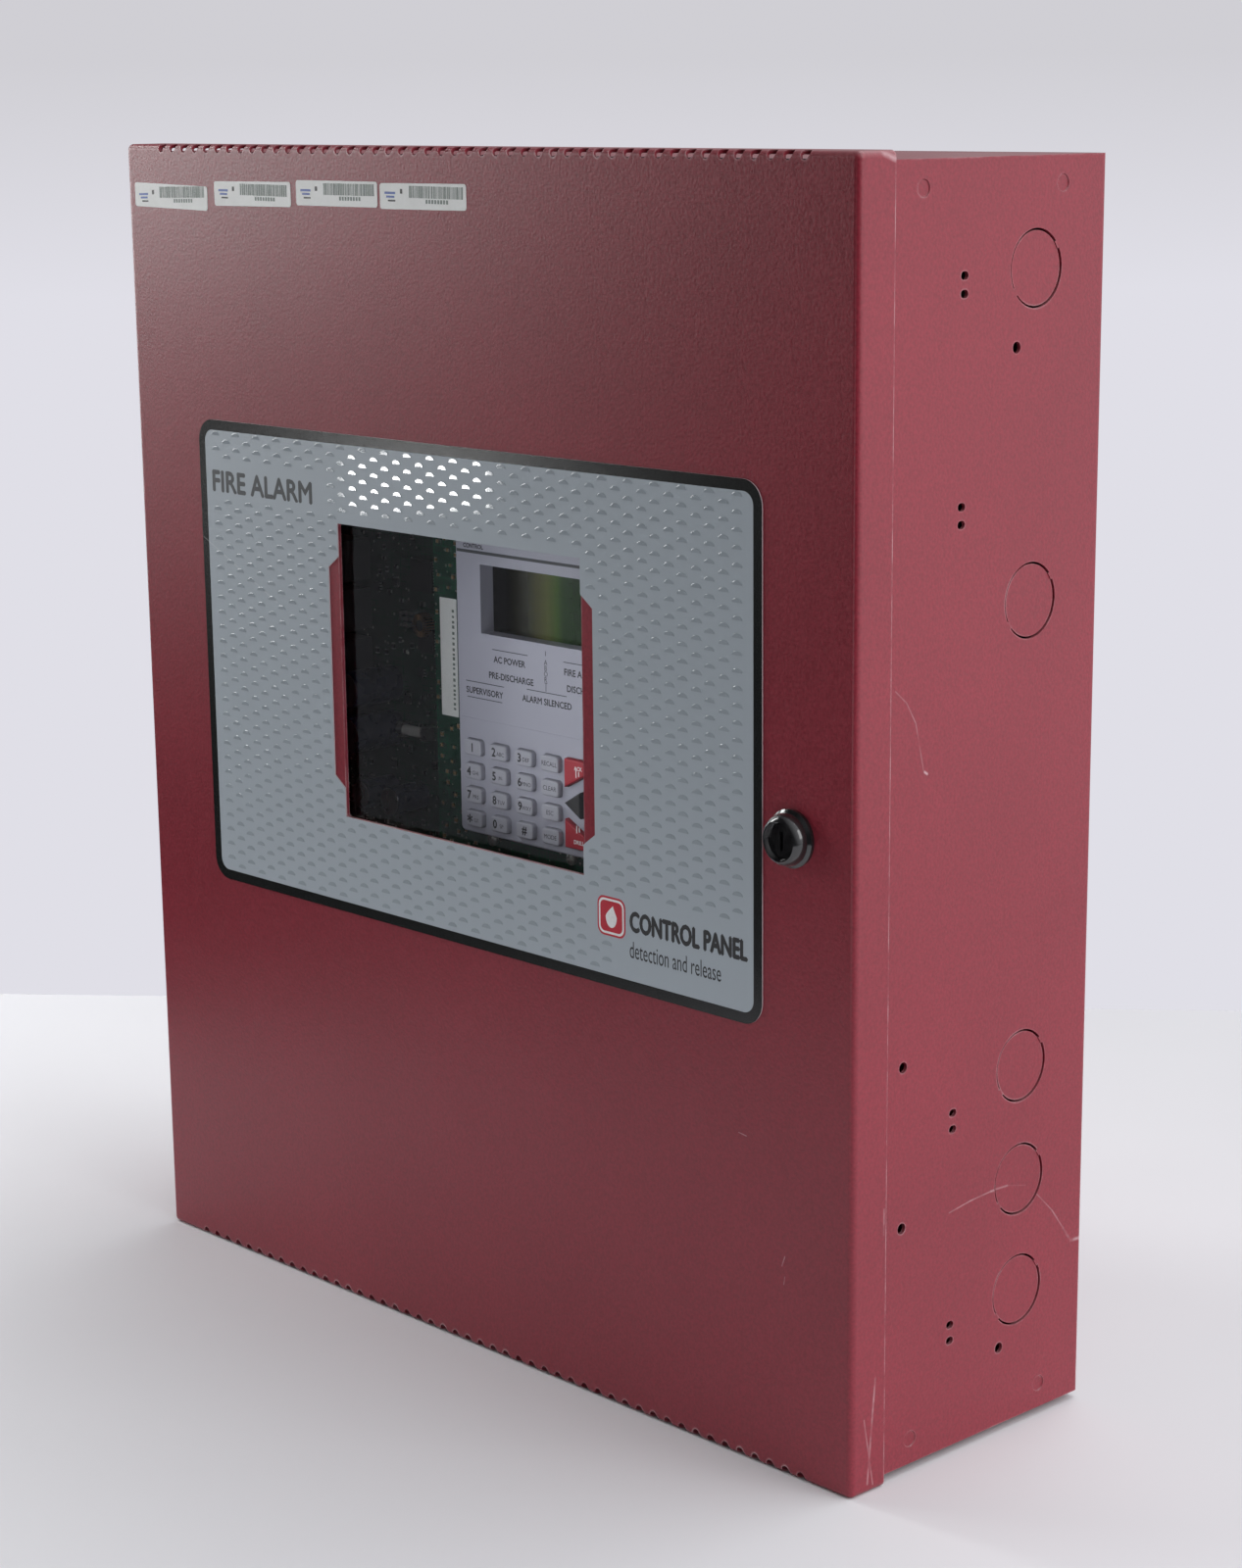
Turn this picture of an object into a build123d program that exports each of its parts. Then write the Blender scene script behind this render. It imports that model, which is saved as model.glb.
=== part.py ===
from build123d import *
import os

# Fire alarm control panel for a wall: a folded steel backbox, a hinged door with a window and a cam
# lock, and the boards, display, keypad and transformer that it holds. Sizes are in millimetres.
# X runs to the right, Y from the front towards the wall, and Z up.
# The origin is the middle of the back wall's outer face.

os.makedirs("parts", exist_ok=True)

# Sheet metal
SHEET = 1.5                     # thickness of the backbox and of the door
BEND = 1.0                      # inside radius of a fold
FOLD = BEND + SHEET             # outside radius of a fold
MID = SHEET / 2
CONTACT = 0.1                   # gap between sheets that are clinched together

# Backbox
BOX_W = 422.9
BOX_H = 482.6
BOX_D = 133.4
BOX_CORNER_R = 5.0              # rounded front corners of the side walls
PANEL_FLANGE = 20.0             # flanges that hold the top and bottom panels in the side walls
FLANGE_INSET = 12.0             # flange ends, back from the corners
DIMPLE_R = 3.25
DIMPLE_DEPTH = 0.5
DIMPLE_TAPER = 30               # degrees
DIMPLE_FROM_END = 10.0
DIMPLE_FROM_BACK = (25.3, 100.9)

# Door: a pan that closes over the front of the backbox
DOOR_D = 18.3
DOOR_GAP = 1.0                  # box's front edge to the door's inner face
SIDE_PLAY = 0.65                # box's sides to the door's flanges
END_PLAY = 1.8                  # box's top and bottom to the door's flanges
DOOR_W = BOX_W + 2 * (SIDE_PLAY + SHEET)
DOOR_H = BOX_H + 2 * (END_PLAY + SHEET)
DOOR_FRONT = -(BOX_D + DOOR_GAP + SHEET)
DOOR_INSIDE = DOOR_FRONT + SHEET
DOOR_BACK = DOOR_FRONT + DOOR_D
VENT_R = 2.3
VENT_PITCH = 8.0
VENT_MARGIN = 25.6              # door's side to the middle of the first vent
VENT_REACH = 6.0                # how far a vent's drill goes in at 45 degrees

# Window in the door, and the printed overlay around it
WINDOW_W = 147.0
WINDOW_H = 123.3
WINDOW_X = -1.2
WINDOW_Z = 31.75
WINDOW_R = 1.5
EAR_W = 6.6                     # overlay's cut-out beyond the window, left and right
EAR_H = 97.3
EAR_Z = 31.0
EAR_SLANT = 4.8
OVERLAY_W = 336.6
OVERLAY_H = 201.7
OVERLAY_Z = 29.5
OVERLAY_R = 9.5
OVERLAY_T = 0.5
PANE_LAP = 7.0                  # pane beyond the window's edge
PANE_T = 2.0
TAPE_T = 0.8
TAPE_W = 5.0

# Asset tags stuck on the door's top left
TAG_W = 52.0
TAG_H = 10.0
TAG_R = 1.2
TAG_T = 0.15
TAGS = ((31.6, 21.5, -1.2), (88.7, 19.6, 0.4), (144.4, 18.6, 0.0), (198.1, 18.9, 0.3))  # in, down, turn

# Knockouts for conduit: a slit ring with two ties around a slightly sunk disc
KNOCKOUT_R = 14.25
KNOCKOUT_SLIT = 0.8
KNOCKOUT_TIE = 3.0
KNOCKOUT_TIE_ANGLE = 35.0
KNOCKOUT_SINK = 0.4
KNOCKOUT_FROM_BACK = 39.6
KNOCKOUTS_FROM_TOP = (39.7, 160.1)
KNOCKOUTS_FROM_BOTTOM = (53.2, 98.3, 143.7)
TOP_KNOCKOUT_PITCH = 90.0
TOP_KNOCKOUT_COUNT = 3

# Small holes in the side walls, for a trim ring and for wiring clips
SLOT_FROM_BACK = 78.8
SLOT_W = 3.0
SLOT_L = 4.0
SLOT_PAIR = 6.4                 # between the two slots of a pair
SLOTS_FROM_TOP = (43.8, 125.3)
SLOTS_FROM_BOTTOM = (46.4, 130.7)
CLIP_HOLE_R = 2.15
CLIP_REAR_FROM_BACK = 49.8
CLIP_FRONT_FROM_BACK = 106.9
CLIP_REAR_FROM_TOP = 67.4
CLIP_REAR_FROM_BOTTOM = 31.9
CLIP_FRONT_FROM_BOTTOM = (95.4, 157.7)

# Wall fixings in the back: two keyholes above and two round holes below
WALL_HOLES_W = 304.8
WALL_FROM_END = 38.1
WALL_HOLE_R = 3.2
KEYHOLE_R = 6.5
KEYHOLE_DROP = 10.0

# Hinges on the left
HINGE_FROM_END = 90.0           # box's end to the middle of a hinge
HINGE_BEHIND = 3.6              # door's back edge to the axis
HINGE_BESIDE = 1.4              # door's side to the axis
HINGE_AXIS_Y = DOOR_BACK + HINGE_BEHIND
HINGE_AXIS_X = -(DOOR_W / 2 + HINGE_BESIDE)
LEAF_T = 1.2
LEAF_H = 50.0
LEAF_REACH = 20.0               # box leaf, behind the axis
LEAF_R = 3.0
KNUCKLE_R = 2.9
KNUCKLE_GAP = 0.4
DOOR_KNUCKLE = 20.0
PIN_R = 1.5
PIN_PLAY = 0.06
PIN_SEAT = 0.02
PIN_HEAD_R = 2.4
PIN_HEAD_H = 1.2

# Cam lock on the right, and the keeper tab folded in from the side wall
LOCK_INSET = 28.45              # box's side to the lock's axis
LOCK_Z = 2.9
KEEPER_SETBACK = 7.8            # box's front edge to the tab's front face, and the tab's length
KEEPER_H = 24.7
KEEPER_EASE = 0.01              # off the fold's radius, so that two arcs don't meet
RELIEF = 4.0
LOCK_HEAD_R = 10.85
LOCK_RIM_R = 8.0
LOCK_HEAD_H = 7.5
LOCK_SHOULDER_R = 9.7           # where the domed head meets its flange
LOCK_SHOULDER_H = 2.4
LOCK_DOME_R = 9.0               # a point on the dome between the rim and the shoulder
LOCK_DOME_H = 5.9
LOCK_LIP = 0.5                  # chamfer at both sides of the rim
LOCK_FLANGE_EDGE = 1.4          # height of the flange at its outside
LOCK_BARREL_R = 9.5
LOCK_FLATS = 16.2
LOCK_HOLE_PLAY = 0.15
LOCK_RECESS_R = 6.6
LOCK_RECESS = 1.8
PLUG_R = 5.95
PLUG_PLAY = 0.05
KEYWAY_W = 1.6
KEYWAY_H = 7.0
KEYWAY_DEPTH = 8.0
BARREL_PLAY = 0.3               # barrel's end to the keeper's back
CAM_PLAY = 0.5                  # keeper's back to the cam's front
CAM_T = 2.0
CAM_REACH = 23.0
CAM_W = 14.0
CAM_TIP_H = 9.3
CAM_TIP_R = 3.5
CAM_SQUARE = 8.0
CAM_SQUARE_PLAY = 0.05
CAM_SCREW_R = 2.0
CAM_SCREW_HEAD_R = 4.5
CAM_SCREW_HEAD_H = 2.5
CAM_SCREW_L = 6.0
NUT_FLATS = 22.0
NUT_T = 4.0

# Display unit behind the window
DISPLAY_DEPTH = 43.0            # door's outer face to the display's face
DISPLAY_W = 123.0
DISPLAY_H = 129.7
DISPLAY_X = 10.5
DISPLAY_Z = 26.15
HOUSING_D = 14.0
HOUSING_WALL = 2.0
HOUSING_R = 2.5
LCD_W = 80.0
LCD_H = 28.7
LCD_X = 4.5
LCD_Z = 61.45
LCD_WELL = 7.0                  # display's face to the glass
LCD_WELL_WALL = 1.5
LCD_GLASS_T = 1.1
LCD_FRAME = 4.0                 # metal frame beyond the glass's view
DISPLAY_BOARD_LEFT = 31.0       # board beyond the housing on each side
DISPLAY_BOARD_RIGHT = 14.0
DISPLAY_BOARD_ENDS = 14.0
BOARD_T = 1.6
BOARD_R = 2.0
DISPLAY_SCREWS_X = (-46.4, 3.3, 53.0)
DISPLAY_SCREW_IN = 8.0          # board's edge to the screws

# Keys
KEY_W = 10.5
KEY_H = 6.6
KEY_R = 1.6
KEY_PROUD = 2.2
KEY_EDGE = 0.7                  # rounding of a key's top
KEY_PLAY = 0.3
KEY_LIP = 0.9                   # flange behind the face, all round
KEY_LIP_T = 1.0
KEY_LIP_GAP = 0.1
KEY_TRAVEL = 1.0
KEY_STOP = 0.2                  # left under the plunger at full travel
KEY_PLUNGER_R = 1.6
KEY_PITCH_X = 16.0
KEY_PITCH_Z = 10.2
KEYPAD_X = -16.2
KEYPAD_Z = -16.8
KEYPAD_NAMES = (
    ("key_1", "key_2", "key_3", "key_recall"),
    ("key_4", "key_5", "key_6", "key_clear"),
    ("key_7", "key_8", "key_9", "key_escape"),
    ("key_star", "key_0", "key_hash", "key_mode"),
)
CLUSTER_X = 42.0
CLUSTER_Z = -16.4
ARROW_TIP_X = 25.7
ARROW_TIP_Z = 18.5
ARROW_DEEP = 9.4
ARROW_HALF = 5.5
CORNER_OUT_X = 25.4
CORNER_IN_X = 8.2
CORNER_TOP_Z = 18.5
CORNER_STEP_Z = 15.2
CORNER_LOW_Z = 6.5
ENTER_W = 14.0
ENTER_H = 8.0

# Chassis and main board
CHASSIS_T = 1.2
GUTTER = 36.45                  # box's side to the chassis
CHASSIS_END_GAP = 2.3           # top panel's flange to the chassis
CHASSIS_BELOW = 22.0            # display board's lower edge to the chassis's
CHASSIS_FOOT = 14.0
BOARD_STANDOFF = 6.0
BOARD_UNDER_DISPLAY = 8.0       # main board to the display board
BOARD_MARGIN = 3.0              # chassis's edge to the main board's
SCREW_IN = 5.5                  # main board's edge to its screws
STUD_R = 2.0
STUD_L = 9.0
STUD_PLAY = 0.3
FOOT_STUD_IN = 30.0             # chassis's end to a stud
SMALL_NUT_FLATS = 7.0
SMALL_NUT_T = 3.2
NUT_PLAY = 0.03
STANDOFF_FLATS = 5.5
STANDOFF_PLAY = 0.9
SCREW_R = 1.5
SCREW_HEAD_R = 2.8
SCREW_HEAD_H = 2.0
SCREW_L = 5.0
SCREW_HOLE_R = 1.6

# Transformer in the box's lower left corner
CORE_W = 76.0
CORE_H = 64.0
CORE_STACK = 34.0
COIL_W = 46.0
COIL_D = 52.0
COIL_H = 36.0
COIL_R = 6.0
TRANSFORMER_FROM_SIDE = 14.0
TRANSFORMER_FROM_BOTTOM = 16.0
FOOT_T = 2.0
FOOT_TAB = 14.0
LEAD_R = 1.3
LEAD_PITCH = 6.0
LEAD_COUNT = 3

# Parts of the main board
BLOCK_POLE = 5.08
BLOCK_POLES = 6
BLOCK_GAP = 4.0
BLOCK_H = 12.0
BLOCK_TALL = 14.0
BLOCK_STEP = 5.0
BLOCK_WELL_R = 1.7              # wells for the screws
POWER_POLE = 9.5
POWER_POLES = 5
POWER_WELL_R = 3.2
RELAY_SIZE = (22.0, 18.0, 16.0)
CHIP_T = 1.8
SINK_W = 36.0
SINK_H = 14.0
SINK_TALL = 26.0
SINK_FINS = 6
SINK_FIN_T = 1.2
SINK_BASE_T = 3.0
CAPACITOR_CROWN = 0.8
RIBBON_T = 0.9
RIBBON_W = 25.4
RIBBON_R = 4.0
RIBBON_LOOP = 22.0
PLUG_W = 6.0
PLUG_H = 30.0
PLUG_T = 5.0
PLUG_Z = 40.0
PLUG_FROM_EDGE = 4.0

# Relays, capacitors and chips: each list gives the distance from the board's left, right or top edge,
# then the height or the place across, then the size
LEFT_RELAYS = ((24.0, 66.0), (24.0, 44.0), (24.0, 22.0), (24.0, 0.0))
TOP_RELAYS = ((-70.0, 34.0), (-42.0, 34.0), (-14.0, 34.0), (14.0, 34.0))
LEFT_CAPACITORS = (
    (48.0, 12.0, 8.0, 26.0),
    (48.0, -8.0, 8.0, 26.0),
    (66.0, -36.0, 6.3, 18.0),
    (46.0, -36.0, 6.3, 18.0),
)
RIGHT_CAPACITORS = (
    (20.0, -30.0, 9.0, 30.0),
    (42.0, -30.0, 9.0, 30.0),
    (18.0, 92.0, 5.0, 14.0),
    (32.0, 92.0, 5.0, 14.0),
)
LEFT_CHIPS = (
    (72.0, 62.0, 14.0, 14.0),
    (74.0, 34.0, 10.0, 10.0),
    (50.0, 84.0, 16.0, 7.0),
    (76.0, 88.0, 8.0, 12.0),
)
RIGHT_CHIPS = ((58.0, 66.0, 16.0, 8.0), (58.0, 50.0, 16.0, 8.0), (20.0, 0.0, 10.0, 10.0))
TOP_CHIPS = ((60.0, 36.0, 20.0, 20.0), (96.0, 36.0, 12.0, 18.0))
RIGHT_SINKS = ((30.0, 62.0), (30.0, 38.0))


def front_plane(y):
    """Plane at depth y whose first axis is X and second Z; it extrudes towards the front."""
    return Plane(origin=(0, y, 0), x_dir=(1, 0, 0), z_dir=(0, -1, 0))


def side_plane(x):
    """Plane at x whose first axis is Y and second Z; it extrudes to the right."""
    return Plane(origin=(x, 0, 0), x_dir=(0, 1, 0), z_dir=(1, 0, 0))


# Places that several pieces share
TOP = BOX_H / 2
BOTTOM = -BOX_H / 2
LOCK_X = BOX_W / 2 - LOCK_INSET
KEEPER_FRONT = -BOX_D + KEEPER_SETBACK
CAM_FRONT = KEEPER_FRONT + SHEET + CAM_PLAY
DISPLAY_FRONT = DOOR_FRONT + DISPLAY_DEPTH
DISPLAY_BOARD_FRONT = DISPLAY_FRONT + HOUSING_D
DISPLAY_BOARD_BACK = DISPLAY_BOARD_FRONT + BOARD_T
BOARD_FRONT = DISPLAY_BOARD_BACK + BOARD_UNDER_DISPLAY
BOARD_BACK = BOARD_FRONT + BOARD_T
CHASSIS_FRONT = BOARD_BACK + BOARD_STANDOFF
DISPLAY_LEFT = DISPLAY_X - DISPLAY_W / 2
DISPLAY_RIGHT = DISPLAY_X + DISPLAY_W / 2
DB_LEFT = DISPLAY_LEFT - DISPLAY_BOARD_LEFT
DB_RIGHT = DISPLAY_RIGHT + DISPLAY_BOARD_RIGHT
DB_TOP = DISPLAY_Z + DISPLAY_H / 2 + DISPLAY_BOARD_ENDS
DB_BOTTOM = DISPLAY_Z - DISPLAY_H / 2 - DISPLAY_BOARD_ENDS
CHASSIS_HALF = BOX_W / 2 - GUTTER
CHASSIS_TOP = TOP - PANEL_FLANGE - CHASSIS_END_GAP
CHASSIS_BOTTOM = DB_BOTTOM - CHASSIS_BELOW
BOARD_HALF = CHASSIS_HALF - BOARD_MARGIN
BOARD_TOP = CHASSIS_TOP - BOARD_MARGIN
BOARD_BOTTOM = CHASSIS_BOTTOM + BOARD_MARGIN
BOARD_MID_Z = (BOARD_TOP + BOARD_BOTTOM) / 2
HINGE_ZS = (TOP - HINGE_FROM_END, BOTTOM + HINGE_FROM_END)
WALL_Z = TOP - WALL_FROM_END
STUD_X = CHASSIS_HALF + CHASSIS_FOOT / 2
STUD_ZS = (CHASSIS_TOP - FOOT_STUD_IN, CHASSIS_BOTTOM + FOOT_STUD_IN)
CORE_X = -BOX_W / 2 + SHEET + TRANSFORMER_FROM_SIDE + FOOT_TAB + CORE_W / 2
CORE_Z = BOTTOM + SHEET + TRANSFORMER_FROM_BOTTOM + CORE_H / 2
TRANSFORMER_STUDS = [(CORE_X + side * (CORE_W + FOOT_TAB) / 2, CORE_Z) for side in (-1, 1)]
CHASSIS_STUDS = [(side * STUD_X, z) for side in (-1, 1) for z in STUD_ZS]
DISPLAY_SCREW_ZS = (DB_TOP - DISPLAY_SCREW_IN, DB_BOTTOM + DISPLAY_SCREW_IN)
DISPLAY_SCREWS = [(x, z) for x in DISPLAY_SCREWS_X for z in DISPLAY_SCREW_ZS]
BOARD_SCREWS = [
    (side * (BOARD_HALF - SCREW_IN), z)
    for side in (-1, 1)
    for z in (BOARD_TOP - SCREW_IN, BOARD_MID_Z, BOARD_BOTTOM + SCREW_IN)
]
SIDE_KNOCKOUTS = [(-KNOCKOUT_FROM_BACK, TOP - d) for d in KNOCKOUTS_FROM_TOP]
SIDE_KNOCKOUTS += [(-KNOCKOUT_FROM_BACK, BOTTOM + d) for d in KNOCKOUTS_FROM_BOTTOM]
SIDE_SLOT_ZS = [TOP - d for d in SLOTS_FROM_TOP] + [BOTTOM + d for d in SLOTS_FROM_BOTTOM]
SIDE_SLOTS = [(-SLOT_FROM_BACK, z + side * SLOT_PAIR / 2) for z in SIDE_SLOT_ZS for side in (-1, 1)]
SIDE_HOLES = [(-CLIP_FRONT_FROM_BACK, BOTTOM + d) for d in CLIP_FRONT_FROM_BOTTOM]
SIDE_HOLES += [(-CLIP_REAR_FROM_BACK, TOP - CLIP_REAR_FROM_TOP)]
SIDE_HOLES += [(-CLIP_REAR_FROM_BACK, BOTTOM + CLIP_REAR_FROM_BOTTOM)]
DIMPLE_ZS = (TOP - DIMPLE_FROM_END, BOTTOM + DIMPLE_FROM_END)
SIDE_DIMPLES = [(-d, z) for d in DIMPLE_FROM_BACK for z in DIMPLE_ZS]
TOP_KNOCKOUTS = [
    ((i - (TOP_KNOCKOUT_COUNT - 1) / 2) * TOP_KNOCKOUT_PITCH, -KNOCKOUT_FROM_BACK)
    for i in range(TOP_KNOCKOUT_COUNT)
]


def knockout_slits(centres):
    """Sketch of the knockouts' slits: rings, each broken by two ties."""
    with Locations(*centres):
        Circle(KNOCKOUT_R)
        Circle(KNOCKOUT_R - KNOCKOUT_SLIT, mode=Mode.SUBTRACT)
        Rectangle(2 * KNOCKOUT_R + 1, KNOCKOUT_TIE, rotation=KNOCKOUT_TIE_ANGLE, mode=Mode.SUBTRACT)


def knockout_discs(centres):
    """Sketch of the discs inside the slits."""
    with Locations(*centres):
        Circle(KNOCKOUT_R - KNOCKOUT_SLIT)


# Backbox: one sheet folded into the back and the two side walls, with welded studs
with BuildPart() as backbox:
    with BuildSketch(Plane.XY.offset(BOTTOM)):
        with BuildLine():
            FilletPolyline(
                (-BOX_W / 2 + MID, -BOX_D),
                (-BOX_W / 2 + MID, -MID),
                (BOX_W / 2 - MID, -MID),
                (BOX_W / 2 - MID, -BOX_D),
                radius=BEND + MID,
            )
        trace(line_width=SHEET)
    extrude(amount=BOX_H)
    fillet(backbox.edges().filter_by(Axis.X).group_by(Axis.Y)[0], BOX_CORNER_R)
    for side in (-1, 1):
        with BuildSketch(side_plane(side * BOX_W / 2)):
            knockout_slits(SIDE_KNOCKOUTS)
            with Locations(*SIDE_SLOTS):
                SlotOverall(SLOT_L, SLOT_W)
            with Locations(*SIDE_HOLES):
                Circle(CLIP_HOLE_R)
        extrude(amount=-side * SHEET, mode=Mode.SUBTRACT)
        with BuildSketch(side_plane(side * BOX_W / 2)):
            knockout_discs(SIDE_KNOCKOUTS)
        extrude(amount=-side * KNOCKOUT_SINK, mode=Mode.SUBTRACT)
        with BuildSketch(side_plane(side * (BOX_W / 2 - SHEET))):
            knockout_discs(SIDE_KNOCKOUTS)
        extrude(amount=-side * KNOCKOUT_SINK)
        with BuildSketch(side_plane(side * BOX_W / 2)):
            with Locations(*SIDE_DIMPLES):
                Circle(DIMPLE_R)
        extrude(amount=-side * DIMPLE_DEPTH, taper=side * DIMPLE_TAPER, mode=Mode.SUBTRACT)
    with BuildSketch(front_plane(0)):
        with Locations((-WALL_HOLES_W / 2, WALL_Z), (WALL_HOLES_W / 2, WALL_Z)):
            Circle(WALL_HOLE_R)
            with Locations((0, -KEYHOLE_DROP)):
                Circle(KEYHOLE_R)
            with Locations((0, -KEYHOLE_DROP / 2)):
                Rectangle(2 * WALL_HOLE_R, KEYHOLE_DROP)
        with Locations((-WALL_HOLES_W / 2, -WALL_Z), (WALL_HOLES_W / 2, -WALL_Z)):
            Circle(WALL_HOLE_R)
    extrude(amount=SHEET, mode=Mode.SUBTRACT)
    with BuildSketch(side_plane(BOX_W / 2)):
        with Locations((-BOX_D + (KEEPER_SETBACK + FOLD) / 2, LOCK_Z)):
            Rectangle(KEEPER_SETBACK + FOLD, KEEPER_H)
        with Locations(*[(KEEPER_FRONT, LOCK_Z + side * (KEEPER_H + RELIEF) / 2) for side in (-1, 1)]):
            Rectangle(RELIEF, RELIEF)
    extrude(amount=-SHEET, mode=Mode.SUBTRACT)
    with BuildSketch(Plane.XY.offset(LOCK_Z - KEEPER_H / 2)):
        with BuildLine():
            FilletPolyline(
                (BOX_W / 2 - MID, KEEPER_FRONT + FOLD),
                (BOX_W / 2 - MID, KEEPER_FRONT + MID),
                (BOX_W / 2 - SHEET - KEEPER_SETBACK, KEEPER_FRONT + MID),
                radius=BEND + MID - KEEPER_EASE,
            )
        trace(line_width=SHEET)
    extrude(amount=KEEPER_H)
    with BuildSketch(front_plane(-SHEET)):
        with Locations(*CHASSIS_STUDS, *TRANSFORMER_STUDS):
            Circle(STUD_R)
    extrude(amount=STUD_L)
backbox.part.label = "backbox"
export_step(backbox.part, "parts/backbox.step")

# Top and bottom panels: plates whose flanges are clinched inside the side walls and the back
PANEL_W = BOX_W - 2 * (SHEET + CONTACT)
PANEL_D = BOX_D - SHEET - CONTACT
PANEL_Y = -BOX_D + PANEL_D / 2

with BuildPart() as top_panel:
    with Locations((0, PANEL_Y, TOP - PANEL_FLANGE / 2)):
        Box(PANEL_W, PANEL_D, PANEL_FLANGE)
    fillet(top_panel.edges().filter_by(Axis.Z).group_by(Axis.Y)[-1], FOLD)
    fillet(top_panel.faces().sort_by(Axis.Z)[-1].edges().sort_by(Axis.Y)[1:], FOLD)
    offset(
        amount=-SHEET,
        openings=[top_panel.faces().sort_by(Axis.Z)[0], top_panel.faces().sort_by(Axis.Y)[0]],
    )
    with Locations(*[(side * PANEL_W / 2, y, TOP - SHEET - BEND - PANEL_FLANGE / 2)
                     for side in (-1, 1) for y in (-BOX_D, -SHEET)]):
        Box(2 * FLANGE_INSET, 2 * FLANGE_INSET, PANEL_FLANGE, mode=Mode.SUBTRACT)
    with BuildSketch(Plane.XY.offset(TOP)):
        knockout_slits(TOP_KNOCKOUTS)
    extrude(amount=-SHEET, mode=Mode.SUBTRACT)
    with BuildSketch(Plane.XY.offset(TOP)):
        knockout_discs(TOP_KNOCKOUTS)
    extrude(amount=-KNOCKOUT_SINK, mode=Mode.SUBTRACT)
    with BuildSketch(Plane.XY.offset(TOP - SHEET)):
        knockout_discs(TOP_KNOCKOUTS)
    extrude(amount=-KNOCKOUT_SINK)
top_panel.part.label = "top_panel"
export_step(top_panel.part, "parts/top_panel.step")

with BuildPart() as bottom_panel:
    with Locations((0, PANEL_Y, BOTTOM + PANEL_FLANGE / 2)):
        Box(PANEL_W, PANEL_D, PANEL_FLANGE)
    fillet(bottom_panel.edges().filter_by(Axis.Z).group_by(Axis.Y)[-1], FOLD)
    fillet(bottom_panel.faces().sort_by(Axis.Z)[0].edges().sort_by(Axis.Y)[1:], FOLD)
    offset(
        amount=-SHEET,
        openings=[bottom_panel.faces().sort_by(Axis.Z)[-1], bottom_panel.faces().sort_by(Axis.Y)[0]],
    )
    with Locations(*[(side * PANEL_W / 2, y, BOTTOM + SHEET + BEND + PANEL_FLANGE / 2)
                     for side in (-1, 1) for y in (-BOX_D, -SHEET)]):
        Box(2 * FLANGE_INSET, 2 * FLANGE_INSET, PANEL_FLANGE, mode=Mode.SUBTRACT)
bottom_panel.part.label = "bottom_panel"
export_step(bottom_panel.part, "parts/bottom_panel.step")

# Door: a pan with the window, the lock's hole and a row of vents along its top and bottom folds
VENT_COUNT = int((DOOR_W - 2 * VENT_MARGIN) / VENT_PITCH) + 1

with BuildPart() as door:
    with Locations((0, DOOR_FRONT + DOOR_D / 2, 0)):
        Box(DOOR_W, DOOR_D, DOOR_H)
    fillet(door.edges().filter_by(Axis.Y), FOLD)
    fillet(door.faces().sort_by(Axis.Y)[0].edges(), FOLD)
    offset(amount=-SHEET, openings=door.faces().sort_by(Axis.Y)[-1])
    with BuildSketch(front_plane(DOOR_INSIDE)):
        with Locations((WINDOW_X, WINDOW_Z)):
            RectangleRounded(WINDOW_W, WINDOW_H, WINDOW_R)
    extrude(amount=SHEET, mode=Mode.SUBTRACT)
    with BuildSketch(front_plane(DOOR_INSIDE)):
        with Locations((LOCK_X, LOCK_Z)):
            Circle(LOCK_BARREL_R + LOCK_HOLE_PLAY)
            Rectangle(3 * LOCK_BARREL_R, LOCK_FLATS + 2 * LOCK_HOLE_PLAY, mode=Mode.INTERSECT)
    extrude(amount=SHEET, mode=Mode.SUBTRACT)
    for end in (-1, 1):
        fold_edge = (0, DOOR_FRONT, end * DOOR_H / 2)
        with BuildSketch(Plane(origin=fold_edge, x_dir=(1, 0, 0), z_dir=(0, -1, end))):
            with GridLocations(VENT_PITCH, VENT_PITCH, VENT_COUNT, 1):
                Circle(VENT_R)
        extrude(amount=-VENT_REACH, mode=Mode.SUBTRACT)
door.part.label = "door"
export_step(door.part, "parts/door.step")

# Overlay: a thin printed sheet stuck on the door around the window
EAR_OUT = WINDOW_W / 2 + EAR_W

with BuildPart() as overlay_label:
    with BuildSketch(front_plane(DOOR_FRONT)):
        with Locations((0, OVERLAY_Z)):
            RectangleRounded(OVERLAY_W, OVERLAY_H, OVERLAY_R)
        with Locations((WINDOW_X, WINDOW_Z)):
            Rectangle(WINDOW_W, WINDOW_H, mode=Mode.SUBTRACT)
        with Locations((WINDOW_X, EAR_Z)):
            Polygon(
                (-EAR_OUT, EAR_H / 2 - EAR_SLANT),
                (-WINDOW_W / 2, EAR_H / 2),
                (WINDOW_W / 2, EAR_H / 2),
                (EAR_OUT, EAR_H / 2 - EAR_SLANT),
                (EAR_OUT, -EAR_H / 2 + EAR_SLANT),
                (WINDOW_W / 2, -EAR_H / 2),
                (-WINDOW_W / 2, -EAR_H / 2),
                (-EAR_OUT, -EAR_H / 2 + EAR_SLANT),
                align=None,
                mode=Mode.SUBTRACT,
            )
    extrude(amount=OVERLAY_T)
overlay_label.part.label = "overlay_label"
export_step(overlay_label.part, "parts/overlay_label.step")

# Window: a clear pane held behind the opening by a ring of foam tape
PANE_W = WINDOW_W + 2 * PANE_LAP
PANE_H = WINDOW_H + 2 * PANE_LAP

with BuildPart() as window_tape:
    with BuildSketch(front_plane(DOOR_INSIDE + TAPE_T)):
        with Locations((WINDOW_X, WINDOW_Z)):
            Rectangle(PANE_W, PANE_H)
            Rectangle(PANE_W - 2 * TAPE_W, PANE_H - 2 * TAPE_W, mode=Mode.SUBTRACT)
    extrude(amount=TAPE_T)
window_tape.part.label = "window_tape"
export_step(window_tape.part, "parts/window_tape.step")

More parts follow.
